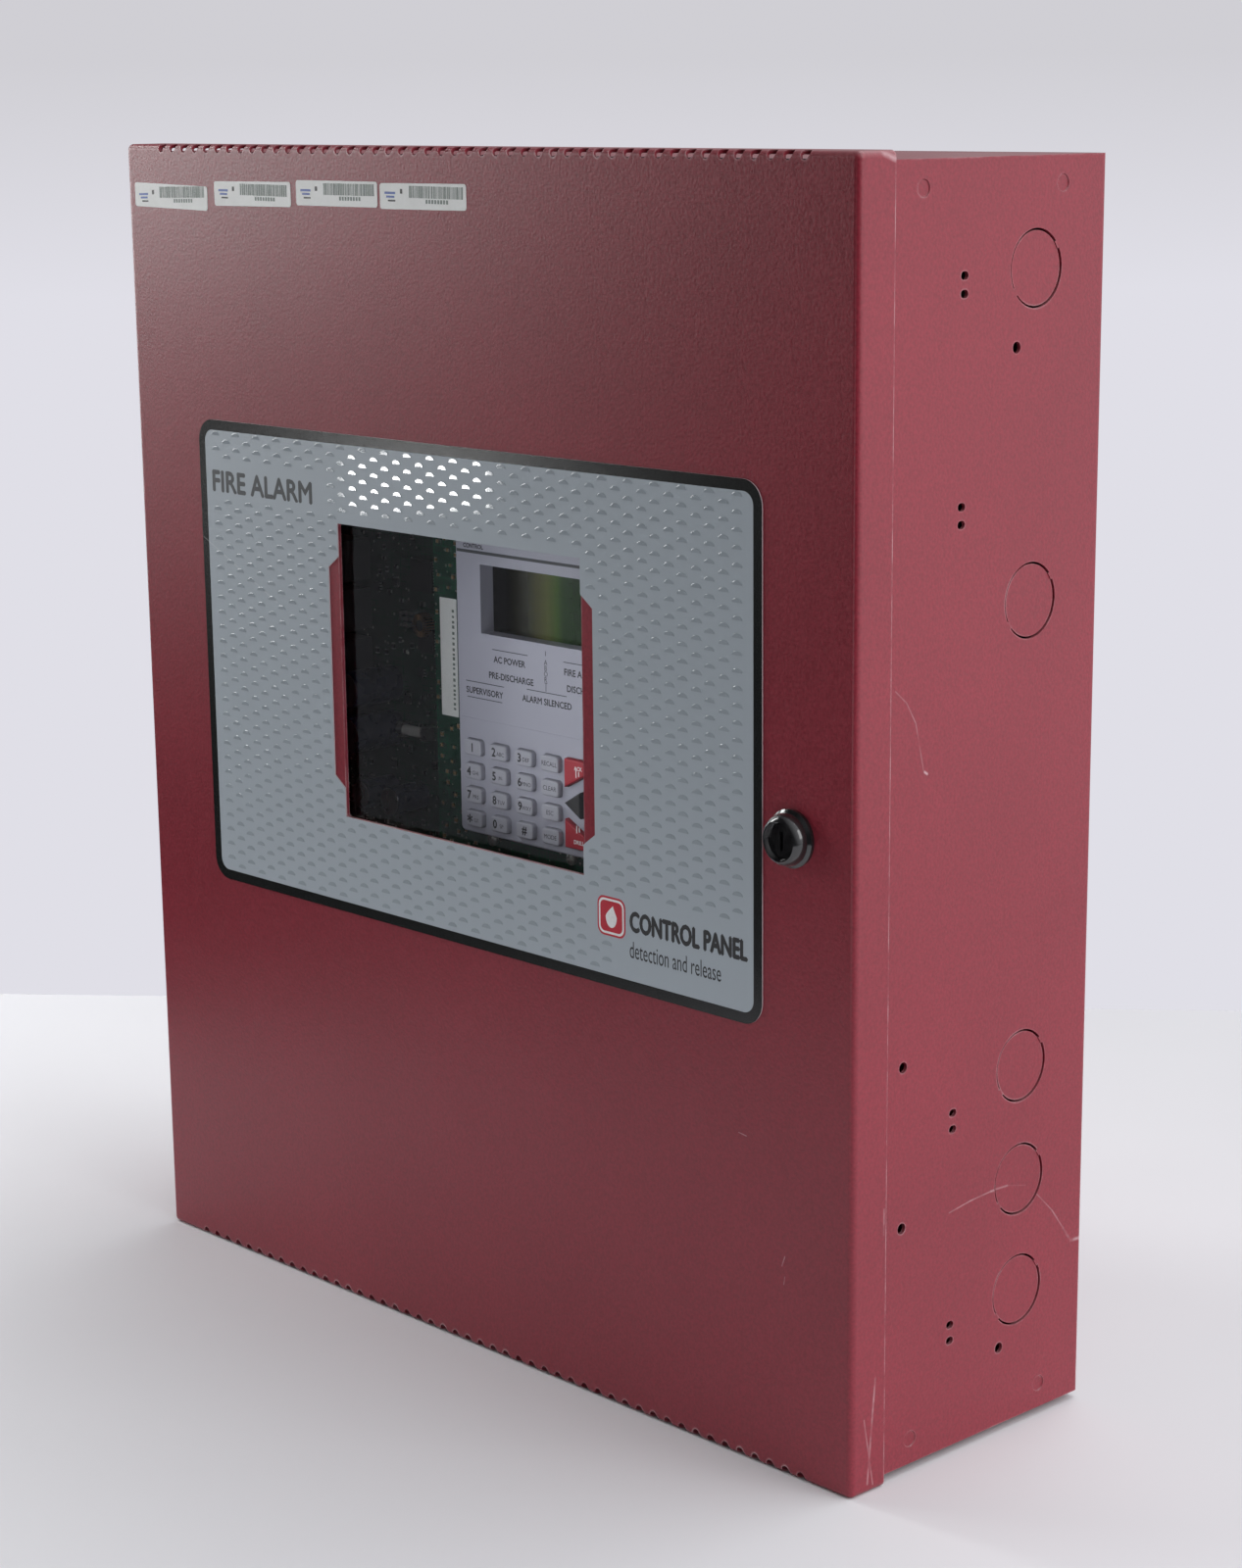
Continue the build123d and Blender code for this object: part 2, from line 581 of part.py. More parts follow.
with BuildPart() as window_pane:
    with BuildSketch(front_plane(DOOR_INSIDE + TAPE_T + PANE_T)):
        with Locations((WINDOW_X, WINDOW_Z)):
            RectangleRounded(PANE_W, PANE_H, WINDOW_R)
    extrude(amount=PANE_T)
window_pane.part.label = "window_pane"
export_step(window_pane.part, "parts/window_pane.step")

# Asset tags: four small paper labels near the door's top left corner
with BuildPart() as asset_tags:
    for inward, down, turn in TAGS:
        with BuildSketch(front_plane(DOOR_FRONT)):
            with Locations(Location((-DOOR_W / 2 + inward, DOOR_H / 2 - down, 0), (0, 0, turn))):
                RectangleRounded(TAG_W, TAG_H, TAG_R)
        extrude(amount=TAG_T)
asset_tags.part.label = "asset_tags"
export_step(asset_tags.part, "parts/asset_tags.step")

# Hinges: leaves welded to the box's and the door's left sides, around two fixed pins
BOX_LEAF_X = -BOX_W / 2
DOOR_LEAF_X = -DOOR_W / 2
BOX_KNUCKLE = (LEAF_H - DOOR_KNUCKLE) / 2 - KNUCKLE_GAP

with BuildPart() as box_hinge_leaves:
    for z in HINGE_ZS:
        with BuildSketch(side_plane(BOX_LEAF_X - LEAF_T)):
            with Locations((HINGE_AXIS_Y + (LEAF_REACH + KNUCKLE_R + KNUCKLE_GAP) / 2, z)):
                Rectangle(LEAF_REACH - KNUCKLE_R - KNUCKLE_GAP, LEAF_H)
        extrude(amount=LEAF_T)
        for end in (-1, 1):
            knuckle_low = z + end * (LEAF_H / 2 - BOX_KNUCKLE / 2) - BOX_KNUCKLE / 2
            with BuildSketch(Plane.XY.offset(knuckle_low)):
                with Locations((HINGE_AXIS_X, HINGE_AXIS_Y)):
                    Circle(KNUCKLE_R)
                with Locations((BOX_LEAF_X - LEAF_T / 2, HINGE_AXIS_Y + LEAF_REACH / 4)):
                    Rectangle(LEAF_T, LEAF_REACH / 2)
                with Locations((HINGE_AXIS_X, HINGE_AXIS_Y)):
                    Circle(PIN_R + PIN_SEAT, mode=Mode.SUBTRACT)
            extrude(amount=BOX_KNUCKLE)
box_hinge_leaves.part.label = "box_hinge_leaves"
export_step(box_hinge_leaves.part, "parts/box_hinge_leaves.step")

with BuildPart() as door_hinge_leaves:
    for z in HINGE_ZS:
        with BuildSketch(side_plane(DOOR_LEAF_X - LEAF_T)):
            with Locations(((DOOR_FRONT + FOLD + DOOR_BACK) / 2, z)):
                Rectangle(DOOR_BACK - DOOR_FRONT - FOLD, LEAF_H)
        extrude(amount=LEAF_T)
        with BuildSketch(Plane.XY.offset(z - DOOR_KNUCKLE / 2)):
            with Locations((HINGE_AXIS_X, HINGE_AXIS_Y)):
                Circle(KNUCKLE_R)
            with Locations((DOOR_LEAF_X - LEAF_T / 2, (HINGE_AXIS_Y + DOOR_BACK) / 2 - LEAF_T)):
                Rectangle(LEAF_T, HINGE_AXIS_Y - DOOR_BACK + 2 * LEAF_T)
            with Locations((HINGE_AXIS_X, HINGE_AXIS_Y)):
                Circle(PIN_R + PIN_PLAY, mode=Mode.SUBTRACT)
        extrude(amount=DOOR_KNUCKLE)
door_hinge_leaves.part.label = "door_hinge_leaves"
export_step(door_hinge_leaves.part, "parts/door_hinge_leaves.step")

with BuildPart() as hinge_pins:
    for z in HINGE_ZS:
        with BuildSketch(Plane.XY.offset(z - LEAF_H / 2)):
            with Locations((HINGE_AXIS_X, HINGE_AXIS_Y)):
                Circle(PIN_R)
        extrude(amount=LEAF_H)
        with BuildSketch(Plane.XY.offset(z + LEAF_H / 2)):
            with Locations((HINGE_AXIS_X, HINGE_AXIS_Y)):
                Circle(PIN_HEAD_R)
        extrude(amount=PIN_HEAD_H)
hinge_pins.part.label = "hinge_pins"
export_step(hinge_pins.part, "parts/hinge_pins.step")

# Cam lock: a body held in the door by a nut, and a plug that turns in it with the cam on its end
LOCK_AXIS = Plane(origin=(LOCK_X, DOOR_FRONT, LOCK_Z), x_dir=(1, 0, 0), z_dir=(0, 0, 1))
BARREL_END = CAM_FRONT - DOOR_FRONT - CAM_PLAY - BARREL_PLAY
HEAD_FACE = -LOCK_HEAD_H
RECESS_FACE = HEAD_FACE + LOCK_RECESS

with BuildPart() as lock_body:
    with BuildSketch(LOCK_AXIS):
        with BuildLine():
            bore = PLUG_R + PLUG_PLAY
            Polyline(
                (bore, BARREL_END),
                (bore, RECESS_FACE),
                (LOCK_RECESS_R, RECESS_FACE),
                (LOCK_RECESS_R + LOCK_LIP, HEAD_FACE),
                (LOCK_RIM_R - LOCK_LIP, HEAD_FACE),
            )
            ThreePointArc(
                (LOCK_RIM_R - LOCK_LIP, HEAD_FACE),
                (LOCK_DOME_R, -LOCK_DOME_H),
                (LOCK_SHOULDER_R, -LOCK_SHOULDER_H),
            )
            Polyline(
                (LOCK_SHOULDER_R, -LOCK_SHOULDER_H),
                (LOCK_HEAD_R, -LOCK_FLANGE_EDGE),
                (LOCK_HEAD_R, 0),
                (LOCK_BARREL_R, 0),
                (LOCK_BARREL_R, BARREL_END),
                (bore, BARREL_END),
            )
        make_face()
    revolve(axis=Axis((LOCK_X, DOOR_FRONT, LOCK_Z), (0, 1, 0)))
    with BuildSketch(front_plane(DOOR_FRONT + BARREL_END)):
        with Locations(*[(LOCK_X, LOCK_Z + end * LOCK_FLATS) for end in (-1, 1)]):
            Rectangle(3 * LOCK_BARREL_R, LOCK_FLATS)
    extrude(amount=BARREL_END, mode=Mode.SUBTRACT)
lock_body.part.label = "lock_body"
export_step(lock_body.part, "parts/lock_body.step")

with BuildPart() as lock_nut:
    with BuildSketch(front_plane(DOOR_INSIDE + NUT_T)):
        with Locations((LOCK_X, LOCK_Z)):
            RegularPolygon(NUT_FLATS / 2, 6, major_radius=False)
            Circle(LOCK_BARREL_R + NUT_PLAY, mode=Mode.SUBTRACT)
    extrude(amount=NUT_T)
lock_nut.part.label = "lock_nut"
export_step(lock_nut.part, "parts/lock_nut.step")

PLUG_FACE = DOOR_FRONT - LOCK_HEAD_H + LOCK_RECESS

with BuildPart() as lock_plug:
    with BuildSketch(front_plane(CAM_FRONT)):
        with Locations((LOCK_X, LOCK_Z)):
            Circle(PLUG_R)
    extrude(amount=CAM_FRONT - PLUG_FACE)
    with BuildSketch(front_plane(CAM_FRONT + CAM_T)):
        with Locations((LOCK_X, LOCK_Z)):
            Rectangle(CAM_SQUARE, CAM_SQUARE)
    extrude(amount=CAM_T)
    with BuildSketch(front_plane(PLUG_FACE)):
        with Locations((LOCK_X, LOCK_Z)):
            Rectangle(KEYWAY_W, KEYWAY_H)
    extrude(amount=-KEYWAY_DEPTH, mode=Mode.SUBTRACT)
    with BuildSketch(front_plane(CAM_FRONT + CAM_T)):
        with Locations((LOCK_X, LOCK_Z)):
            Circle(CAM_SCREW_R + NUT_PLAY)
    extrude(amount=CAM_SCREW_L, mode=Mode.SUBTRACT)
lock_plug.part.label = "lock_plug"
export_step(lock_plug.part, "parts/lock_plug.step")

CAM_HOLE = CAM_SQUARE + 2 * CAM_SQUARE_PLAY

with BuildPart() as lock_cam:
    with BuildSketch(front_plane(CAM_FRONT + CAM_T)):
        with Locations((LOCK_X, LOCK_Z)):
            Circle(CAM_W / 2)
            with Locations((0, -(CAM_REACH - CAM_TIP_H / 2) / 2)):
                Rectangle(CAM_W, CAM_REACH - CAM_TIP_H / 2)
            with Locations((0, -CAM_REACH + CAM_TIP_H / 2)):
                RectangleRounded(CAM_W, CAM_TIP_H, CAM_TIP_R)
            Rectangle(CAM_HOLE, CAM_HOLE, mode=Mode.SUBTRACT)
    extrude(amount=CAM_T)
lock_cam.part.label = "lock_cam"
export_step(lock_cam.part, "parts/lock_cam.step")

with BuildPart() as lock_cam_screw:
    with BuildSketch(front_plane(CAM_FRONT + CAM_T)):
        with Locations((LOCK_X, LOCK_Z)):
            Circle(CAM_SCREW_R)
    extrude(amount=CAM_SCREW_L - CONTACT)
    with BuildSketch(front_plane(CAM_FRONT + CAM_T + CAM_SCREW_HEAD_H)):
        with Locations((LOCK_X, LOCK_Z)):
            RegularPolygon(CAM_SCREW_HEAD_R, 6)
    extrude(amount=CAM_SCREW_HEAD_H)
lock_cam_screw.part.label = "lock_cam_screw"
export_step(lock_cam_screw.part, "parts/lock_cam_screw.step")


# Keys: each has a cap through the face, a flange behind it and a plunger above the board
def key_outlines():
    """Name, middle and outline of every key. An outline of None is the keypad's rounded rectangle."""
    keys = []
    for row, names in enumerate(KEYPAD_NAMES):
        for column, name in enumerate(names):
            x = KEYPAD_X + (column - 1.5) * KEY_PITCH_X
            z = KEYPAD_Z + (1.5 - row) * KEY_PITCH_Z
            keys.append((name, x, z, None))
    across = [(-ARROW_DEEP / 2, 0), (ARROW_DEEP / 2, -ARROW_HALF), (ARROW_DEEP / 2, ARROW_HALF)]
    upright = [(0, ARROW_DEEP / 2), (-ARROW_HALF, -ARROW_DEEP / 2), (ARROW_HALF, -ARROW_DEEP / 2)]
    arrow_x = ARROW_TIP_X - ARROW_DEEP / 2
    arrow_z = ARROW_TIP_Z - ARROW_DEEP / 2
    keys.append(("key_left", CLUSTER_X - arrow_x, CLUSTER_Z, across))
    keys.append(("key_right", CLUSTER_X + arrow_x, CLUSTER_Z, [(-x, z) for x, z in across]))
    keys.append(("key_up", CLUSTER_X, CLUSTER_Z + arrow_z, upright))
    keys.append(("key_down", CLUSTER_X, CLUSTER_Z - arrow_z, [(x, -z) for x, z in upright]))
    corner_x = (CORNER_OUT_X + CORNER_IN_X) / 2
    corner_z = (CORNER_TOP_Z + CORNER_LOW_Z) / 2
    corner = [
        (CORNER_OUT_X - corner_x, CORNER_TOP_Z - corner_z),
        (CORNER_IN_X - corner_x, CORNER_TOP_Z - corner_z),
        (CORNER_IN_X - corner_x, CORNER_STEP_Z - corner_z),
        (CORNER_OUT_X - corner_x, CORNER_LOW_Z - corner_z),
    ]
    corner_keys = (("acknowledge", -1, 1), ("silence", 1, 1), ("drill", -1, -1), ("reset", 1, -1))
    enter = [(x * ENTER_W / 2, z * ENTER_H / 2) for x, z in ((-1, 1), (1, 1), (1, -1), (-1, -1))]
    keys.append(("key_enter", CLUSTER_X, CLUSTER_Z, enter))
    for name, right, up in corner_keys:
        outline = [(right * x, up * z) for x, z in corner]
        keys.append((f"key_{name}", CLUSTER_X + right * corner_x, CLUSTER_Z + up * corner_z, outline))
    return keys


def key_shape(outline, grow):
    """Sketch of one key at the current place, grown all round."""
    if outline is None:
        RectangleRounded(KEY_W + 2 * grow, KEY_H + 2 * grow, KEY_R + grow)
        return
    Polygon(*outline, align=None)
    if grow:
        offset(amount=grow)


def key_plane(x, y, z):
    """Front-facing plane whose origin is a key's middle."""
    return Plane(origin=(x, y, z), x_dir=(1, 0, 0), z_dir=(0, -1, 0))


KEYS = key_outlines()
FACE_BACK = DISPLAY_FRONT + HOUSING_WALL

# Display housing: a moulded frame with the keys' openings and a well down to the glass
with BuildPart() as display_housing:
    with Locations((DISPLAY_X, DISPLAY_FRONT + HOUSING_D / 2, DISPLAY_Z)):
        Box(DISPLAY_W, HOUSING_D, DISPLAY_H)
    fillet(display_housing.edges().filter_by(Axis.Y), HOUSING_R)
    offset(amount=-HOUSING_WALL, openings=display_housing.faces().sort_by(Axis.Y)[-1])
    fillet(display_housing.faces().sort_by(Axis.Y)[0].outer_wire().edges(), HOUSING_WALL / 2)
    with BuildSketch(front_plane(DISPLAY_FRONT + LCD_WELL)):
        with Locations((LCD_X, LCD_Z)):
            Rectangle(LCD_W + 2 * LCD_WELL_WALL, LCD_H + 2 * LCD_WELL_WALL)
    extrude(amount=LCD_WELL)
    with BuildSketch(front_plane(DISPLAY_FRONT + LCD_WELL)):
        with Locations((LCD_X, LCD_Z)):
            Rectangle(LCD_W, LCD_H)
    extrude(amount=LCD_WELL, mode=Mode.SUBTRACT)
    for name, x, z, outline in KEYS:
        with BuildSketch(key_plane(x, FACE_BACK, z)):
            key_shape(outline, KEY_PLAY)
        extrude(amount=HOUSING_WALL, mode=Mode.SUBTRACT)
display_housing.part.label = "display_housing"
export_step(display_housing.part, "parts/display_housing.step")

LIP_BACK = FACE_BACK + KEY_LIP_GAP + KEY_LIP_T

for name, x, z, outline in KEYS:
    with BuildPart() as key:
        with BuildSketch(key_plane(x, FACE_BACK + KEY_LIP_GAP, z)):
            key_shape(outline, 0)
        extrude(amount=HOUSING_WALL + KEY_LIP_GAP + KEY_PROUD)
        fillet(key.faces().sort_by(Axis.Y)[0].edges(), KEY_EDGE)
        with BuildSketch(key_plane(x, LIP_BACK, z)):
            key_shape(outline, KEY_LIP)
        extrude(amount=KEY_LIP_T)
        with BuildSketch(key_plane(x, DISPLAY_BOARD_FRONT - KEY_TRAVEL - KEY_STOP, z)):
            Circle(KEY_PLUNGER_R)
        extrude(amount=DISPLAY_BOARD_FRONT - KEY_TRAVEL - KEY_STOP - LIP_BACK)
    key.part.label = name
    export_step(key.part, f"parts/{name}.step")

# Liquid crystal display: a glass at the bottom of the well, in a metal-framed module on the display board
GLASS_BACK = DISPLAY_FRONT + LCD_WELL + LCD_GLASS_T

with BuildPart() as lcd_glass:
    with BuildSketch(front_plane(GLASS_BACK)):
        with Locations((LCD_X, LCD_Z)):
            Rectangle(LCD_W + 2 * LCD_WELL_WALL, LCD_H + 2 * LCD_WELL_WALL)
    extrude(amount=LCD_GLASS_T)
lcd_glass.part.label = "lcd_glass"
export_step(lcd_glass.part, "parts/lcd_glass.step")

with BuildPart() as lcd_module:
    with BuildSketch(front_plane(DISPLAY_BOARD_FRONT)):
        with Locations((LCD_X, LCD_Z)):
            Rectangle(LCD_W + 2 * LCD_FRAME, LCD_H + 2 * LCD_FRAME)
    extrude(amount=DISPLAY_BOARD_FRONT - GLASS_BACK)
    fillet(lcd_module.edges().filter_by(Axis.Y), BEND)
lcd_module.part.label = "lcd_module"
export_step(lcd_module.part, "parts/lcd_module.step")

with BuildPart() as display_board:
    with BuildSketch(front_plane(DISPLAY_BOARD_BACK)):
        with Locations(((DB_LEFT + DB_RIGHT) / 2, (DB_BOTTOM + DB_TOP) / 2)):
            RectangleRounded(DB_RIGHT - DB_LEFT, DB_TOP - DB_BOTTOM, BOARD_R)
        with Locations(*DISPLAY_SCREWS):
            Circle(SCREW_HOLE_R, mode=Mode.SUBTRACT)
    extrude(amount=BOARD_T)
display_board.part.label = "display_board"
export_step(display_board.part, "parts/display_board.step")

# Chassis: a folded channel whose feet are held on the box's studs by nuts
CHASSIS_MID = CHASSIS_T / 2

with BuildPart() as chassis:
    with BuildSketch(Plane.XY.offset(CHASSIS_BOTTOM)):
        with BuildLine():
            FilletPolyline(
                (-CHASSIS_HALF - CHASSIS_FOOT, -SHEET - CHASSIS_MID),
                (-CHASSIS_HALF + CHASSIS_MID, -SHEET - CHASSIS_MID),
                (-CHASSIS_HALF + CHASSIS_MID, CHASSIS_FRONT + CHASSIS_MID),
                (CHASSIS_HALF - CHASSIS_MID, CHASSIS_FRONT + CHASSIS_MID),
                (CHASSIS_HALF - CHASSIS_MID, -SHEET - CHASSIS_MID),
                (CHASSIS_HALF + CHASSIS_FOOT, -SHEET - CHASSIS_MID),
                radius=BEND + CHASSIS_MID,
            )
        trace(line_width=CHASSIS_T)
    extrude(amount=CHASSIS_TOP - CHASSIS_BOTTOM)
    with BuildSketch(front_plane(-SHEET)):
        with Locations(*CHASSIS_STUDS):
            Circle(STUD_R + STUD_PLAY)
    extrude(amount=CHASSIS_T, mode=Mode.SUBTRACT)
chassis.part.label = "chassis"
export_step(chassis.part, "parts/chassis.step")

with BuildPart() as stud_nuts:
    for foot, studs in ((CHASSIS_T, CHASSIS_STUDS), (FOOT_T, TRANSFORMER_STUDS)):
        with BuildSketch(front_plane(-SHEET - foot)):
            with Locations(*studs):
                RegularPolygon(SMALL_NUT_FLATS / 2, 6, major_radius=False)
                Circle(STUD_R + NUT_PLAY, mode=Mode.SUBTRACT)
        extrude(amount=SMALL_NUT_T)
stud_nuts.part.label = "stud_nuts"
export_step(stud_nuts.part, "parts/stud_nuts.step")

# Main board on hexagonal standoffs. Longer ones pass through it and carry the display board
with BuildPart() as main_board:
    with BuildSketch(front_plane(BOARD_BACK)):
        with Locations((0, BOARD_MID_Z)):
            RectangleRounded(2 * BOARD_HALF, BOARD_TOP - BOARD_BOTTOM, BOARD_R)
        with Locations(*BOARD_SCREWS):
            Circle(SCREW_HOLE_R, mode=Mode.SUBTRACT)
        with Locations(*DISPLAY_SCREWS):
            Circle(STANDOFF_FLATS / 2 + STANDOFF_PLAY, mode=Mode.SUBTRACT)
    extrude(amount=BOARD_T)
main_board.part.label = "main_board"
export_step(main_board.part, "parts/main_board.step")

with BuildPart() as standoffs:
    for board_back, places in ((BOARD_BACK, BOARD_SCREWS), (DISPLAY_BOARD_BACK, DISPLAY_SCREWS)):
        with BuildSketch(front_plane(CHASSIS_FRONT)):
            with Locations(*places):
                RegularPolygon(STANDOFF_FLATS / 2, 6, major_radius=False)
        extrude(amount=CHASSIS_FRONT - board_back)
        with BuildSketch(front_plane(board_back + SCREW_L)):
            with Locations(*places):
                Circle(SCREW_R + NUT_PLAY)
        extrude(amount=SCREW_L, mode=Mode.SUBTRACT)
standoffs.part.label = "standoffs"
export_step(standoffs.part, "parts/standoffs.step")

with BuildPart() as pan_head_screws:
    for board_front, places in ((BOARD_FRONT, BOARD_SCREWS), (DISPLAY_BOARD_FRONT, DISPLAY_SCREWS)):
        with BuildSketch(front_plane(board_front + BOARD_T + SCREW_L - CONTACT)):
            with Locations(*places):
                Circle(SCREW_R)
        extrude(amount=BOARD_T + SCREW_L - CONTACT)
        with BuildSketch(front_plane(board_front)):
            with Locations(*places):
                Circle(SCREW_HEAD_R)
        extrude(amount=SCREW_HEAD_H)
pan_head_screws.part.label = "pan_head_screws"
export_step(pan_head_screws.part, "parts/pan_head_screws.step")

# Terminal blocks along the main board's top edge, and one for the mains at its lower left
BLOCK_W = BLOCK_POLES * BLOCK_POLE
BLOCK_COUNT = int((2 * (BOARD_HALF - 2 * SCREW_IN) + BLOCK_GAP) / (BLOCK_W + BLOCK_GAP))
BLOCK_XS = [(i - (BLOCK_COUNT - 1) / 2) * (BLOCK_W + BLOCK_GAP) for i in range(BLOCK_COUNT)]
POLE_XS = [x + (pole - (BLOCK_POLES - 1) / 2) * BLOCK_POLE for x in BLOCK_XS for pole in range(BLOCK_POLES)]
POWER_W = POWER_POLES * POWER_POLE
POWER_LEFT = -BOARD_HALF + 2 * SCREW_IN
POWER_XS = [POWER_LEFT + (pole + 0.5) * POWER_POLE for pole in range(POWER_POLES)]

with BuildPart() as terminal_blocks:
    for left, width, edge, out in (
        *[(x - BLOCK_W / 2, BLOCK_W, BOARD_TOP, -1) for x in BLOCK_XS],
        (POWER_LEFT, POWER_W, BOARD_BOTTOM, 1),
    ):
        with BuildSketch(side_plane(left)):
            Polygon(
                (BOARD_FRONT, edge),
                (BOARD_FRONT, edge + out * BLOCK_H),
                (BOARD_FRONT - BLOCK_TALL, edge + out * BLOCK_H),
                (BOARD_FRONT - BLOCK_TALL, edge + out * BLOCK_STEP),
                (BOARD_FRONT - BLOCK_TALL + BLOCK_STEP, edge),
                align=None,
            )
        extrude(amount=width)
    for poles, edge, out, reach in (
        (POLE_XS, BOARD_TOP, -1, BLOCK_WELL_R),
        (POWER_XS, BOARD_BOTTOM, 1, POWER_WELL_R),
    ):
        with BuildSketch(Plane(origin=(0, 0, edge), x_dir=(1, 0, 0), z_dir=(0, 0, out))):
            with Locations(*[(x, out * (BOARD_FRONT - BLOCK_STEP)) for x in poles]):
                Rectangle(2 * reach, BLOCK_STEP)
        extrude(amount=BLOCK_STEP, mode=Mode.SUBTRACT)
        with BuildSketch(front_plane(BOARD_FRONT - BLOCK_TALL)):
            with Locations(*[(x, edge + out * (BLOCK_H + BLOCK_STEP) / 2) for x in poles]):
                Circle(reach)
        extrude(amount=-BLOCK_STEP / 2, mode=Mode.SUBTRACT)
terminal_blocks.part.label = "terminal_blocks"
export_step(terminal_blocks.part, "parts/terminal_blocks.step")


# Parts soldered on the main board
def on_board(lefts, rights, tops):
    """Places and sizes on the board, from lists whose first value is a distance from one of its edges."""
    places = [(-BOARD_HALF + entry[0], entry[1], entry[2:]) for entry in lefts]
    places += [(BOARD_HALF - entry[0], entry[1], entry[2:]) for entry in rights]
    places += [(entry[0], BOARD_TOP - entry[1], entry[2:]) for entry in tops]
    return places


with BuildPart() as relays:
    for x, z, size in on_board(LEFT_RELAYS, (), TOP_RELAYS):
        with Locations((x, BOARD_FRONT - RELAY_SIZE[2] / 2, z)):
            Box(RELAY_SIZE[0], RELAY_SIZE[2], RELAY_SIZE[1])
    fillet(relays.edges().group_by(Axis.Y)[0], BEND / 2)
relays.part.label = "relays"
export_step(relays.part, "parts/relays.step")

with BuildPart() as capacitors:
    for x, z, (radius, tall) in on_board(LEFT_CAPACITORS, RIGHT_CAPACITORS, ()):
        with BuildSketch(key_plane(x, BOARD_FRONT, z)):
            Circle(radius)
        can = extrude(amount=tall)
        fillet(can.faces().sort_by(Axis.Y)[0].edges(), CAPACITOR_CROWN)
capacitors.part.label = "capacitors"
export_step(capacitors.part, "parts/capacitors.step")

with BuildPart() as ic_chips:
    for x, z, (wide, high) in on_board(LEFT_CHIPS, RIGHT_CHIPS, TOP_CHIPS):
        with Locations((x, BOARD_FRONT - CHIP_T / 2, z)):
            Box(wide, CHIP_T, high)
ic_chips.part.label = "ic_chips"
export_step(ic_chips.part, "parts/ic_chips.step")

with BuildPart() as heat_sinks:
    for x, z, size in on_board((), RIGHT_SINKS, ()):
        with BuildSketch(key_plane(x, BOARD_FRONT, z)):
            with Locations((0, -SINK_H / 2 + SINK_BASE_T / 2)):
                Rectangle(SINK_W, SINK_BASE_T)
            with GridLocations((SINK_W - SINK_FIN_T) / (SINK_FINS - 1), 1, SINK_FINS, 1):
                Rectangle(SINK_FIN_T, SINK_H)
        extrude(amount=SINK_TALL)
heat_sinks.part.label = "heat_sinks"
export_step(heat_sinks.part, "parts/heat_sinks.step")

# Ribbon cable: from a plug on the display board's right edge round to a plug on the main board
RIBBON_Y = DISPLAY_BOARD_FRONT - PLUG_T / 2
RIBBON_BACK_Y = BOARD_FRONT - PLUG_T / 2
PLUG_X = DB_RIGHT - PLUG_FROM_EDGE - PLUG_W / 2
BACK_PLUG_X = DB_RIGHT + PLUG_FROM_EDGE + PLUG_W / 2
RIBBON_END_X = BACK_PLUG_X + PLUG_W / 2
print("ribbon cable bend radius", RIBBON_R)

with BuildPart() as ribbon_cable:
    with BuildSketch(Plane.XY.offset(PLUG_Z - RIBBON_W / 2)):
        with BuildLine():
            FilletPolyline(
                (PLUG_X + PLUG_W / 2, RIBBON_Y),
                (PLUG_X + RIBBON_LOOP, RIBBON_Y),
                (PLUG_X + RIBBON_LOOP, RIBBON_BACK_Y),
                (RIBBON_END_X, RIBBON_BACK_Y),
                radius=RIBBON_R,
            )
        trace(line_width=RIBBON_T)
    extrude(amount=RIBBON_W)
    with Locations((PLUG_X, RIBBON_Y, PLUG_Z), (BACK_PLUG_X, RIBBON_BACK_Y, PLUG_Z)):
        Box(PLUG_W, PLUG_T, PLUG_H)
ribbon_cable.part.label = "ribbon_cable"
export_step(ribbon_cable.part, "parts/ribbon_cable.step")

# Transformer: a laminated core with a coil on its middle leg, on two brackets
CORE_BACK = -SHEET - FOOT_T - (COIL_D - CORE_STACK) / 2
CORE_LEG = CORE_W / 6
COIL_ROOM = CORE_W - 2 * CORE_LEG

with BuildPart() as transformer_core:
    with BuildSketch(key_plane(CORE_X, CORE_BACK, CORE_Z)):
        Rectangle(CORE_W, CORE_H)
        Rectangle(COIL_ROOM, COIL_H, mode=Mode.SUBTRACT)
        Rectangle(2 * CORE_LEG, COIL_H)
    extrude(amount=CORE_STACK)
transformer_core.part.label = "transformer_core"
export_step(transformer_core.part, "parts/transformer_core.step")

with BuildPart() as transformer_coil:
    with BuildSketch(Plane(origin=(CORE_X, CORE_BACK - CORE_STACK / 2, CORE_Z - COIL_H / 2))):
        RectangleRounded(COIL_W, COIL_D, COIL_R)
        Rectangle(2 * CORE_LEG, CORE_STACK, mode=Mode.SUBTRACT)
    extrude(amount=COIL_H)
transformer_coil.part.label = "transformer_coil"
export_step(transformer_coil.part, "parts/transformer_coil.step")

with BuildPart() as transformer_brackets:
    for side in (-1, 1):
        with BuildSketch(Plane.XY.offset(CORE_Z - CORE_H / 4)):
            with BuildLine():
                FilletPolyline(
                    (CORE_X + side * (CORE_W / 2 + FOOT_TAB), -SHEET - FOOT_T / 2),
                    (CORE_X + side * (CORE_W + FOOT_T) / 2, -SHEET - FOOT_T / 2),
                    (CORE_X + side * (CORE_W + FOOT_T) / 2, CORE_BACK - CORE_STACK),
                    radius=BEND + FOOT_T / 2,
                )
            trace(line_width=FOOT_T)
        extrude(amount=CORE_H / 2)
    with BuildSketch(front_plane(-SHEET)):
        with Locations(*TRANSFORMER_STUDS):
            Circle(STUD_R + STUD_PLAY)
    extrude(amount=FOOT_T, mode=Mode.SUBTRACT)
transformer_brackets.part.label = "transformer_brackets"
export_step(transformer_brackets.part, "parts/transformer_brackets.step")

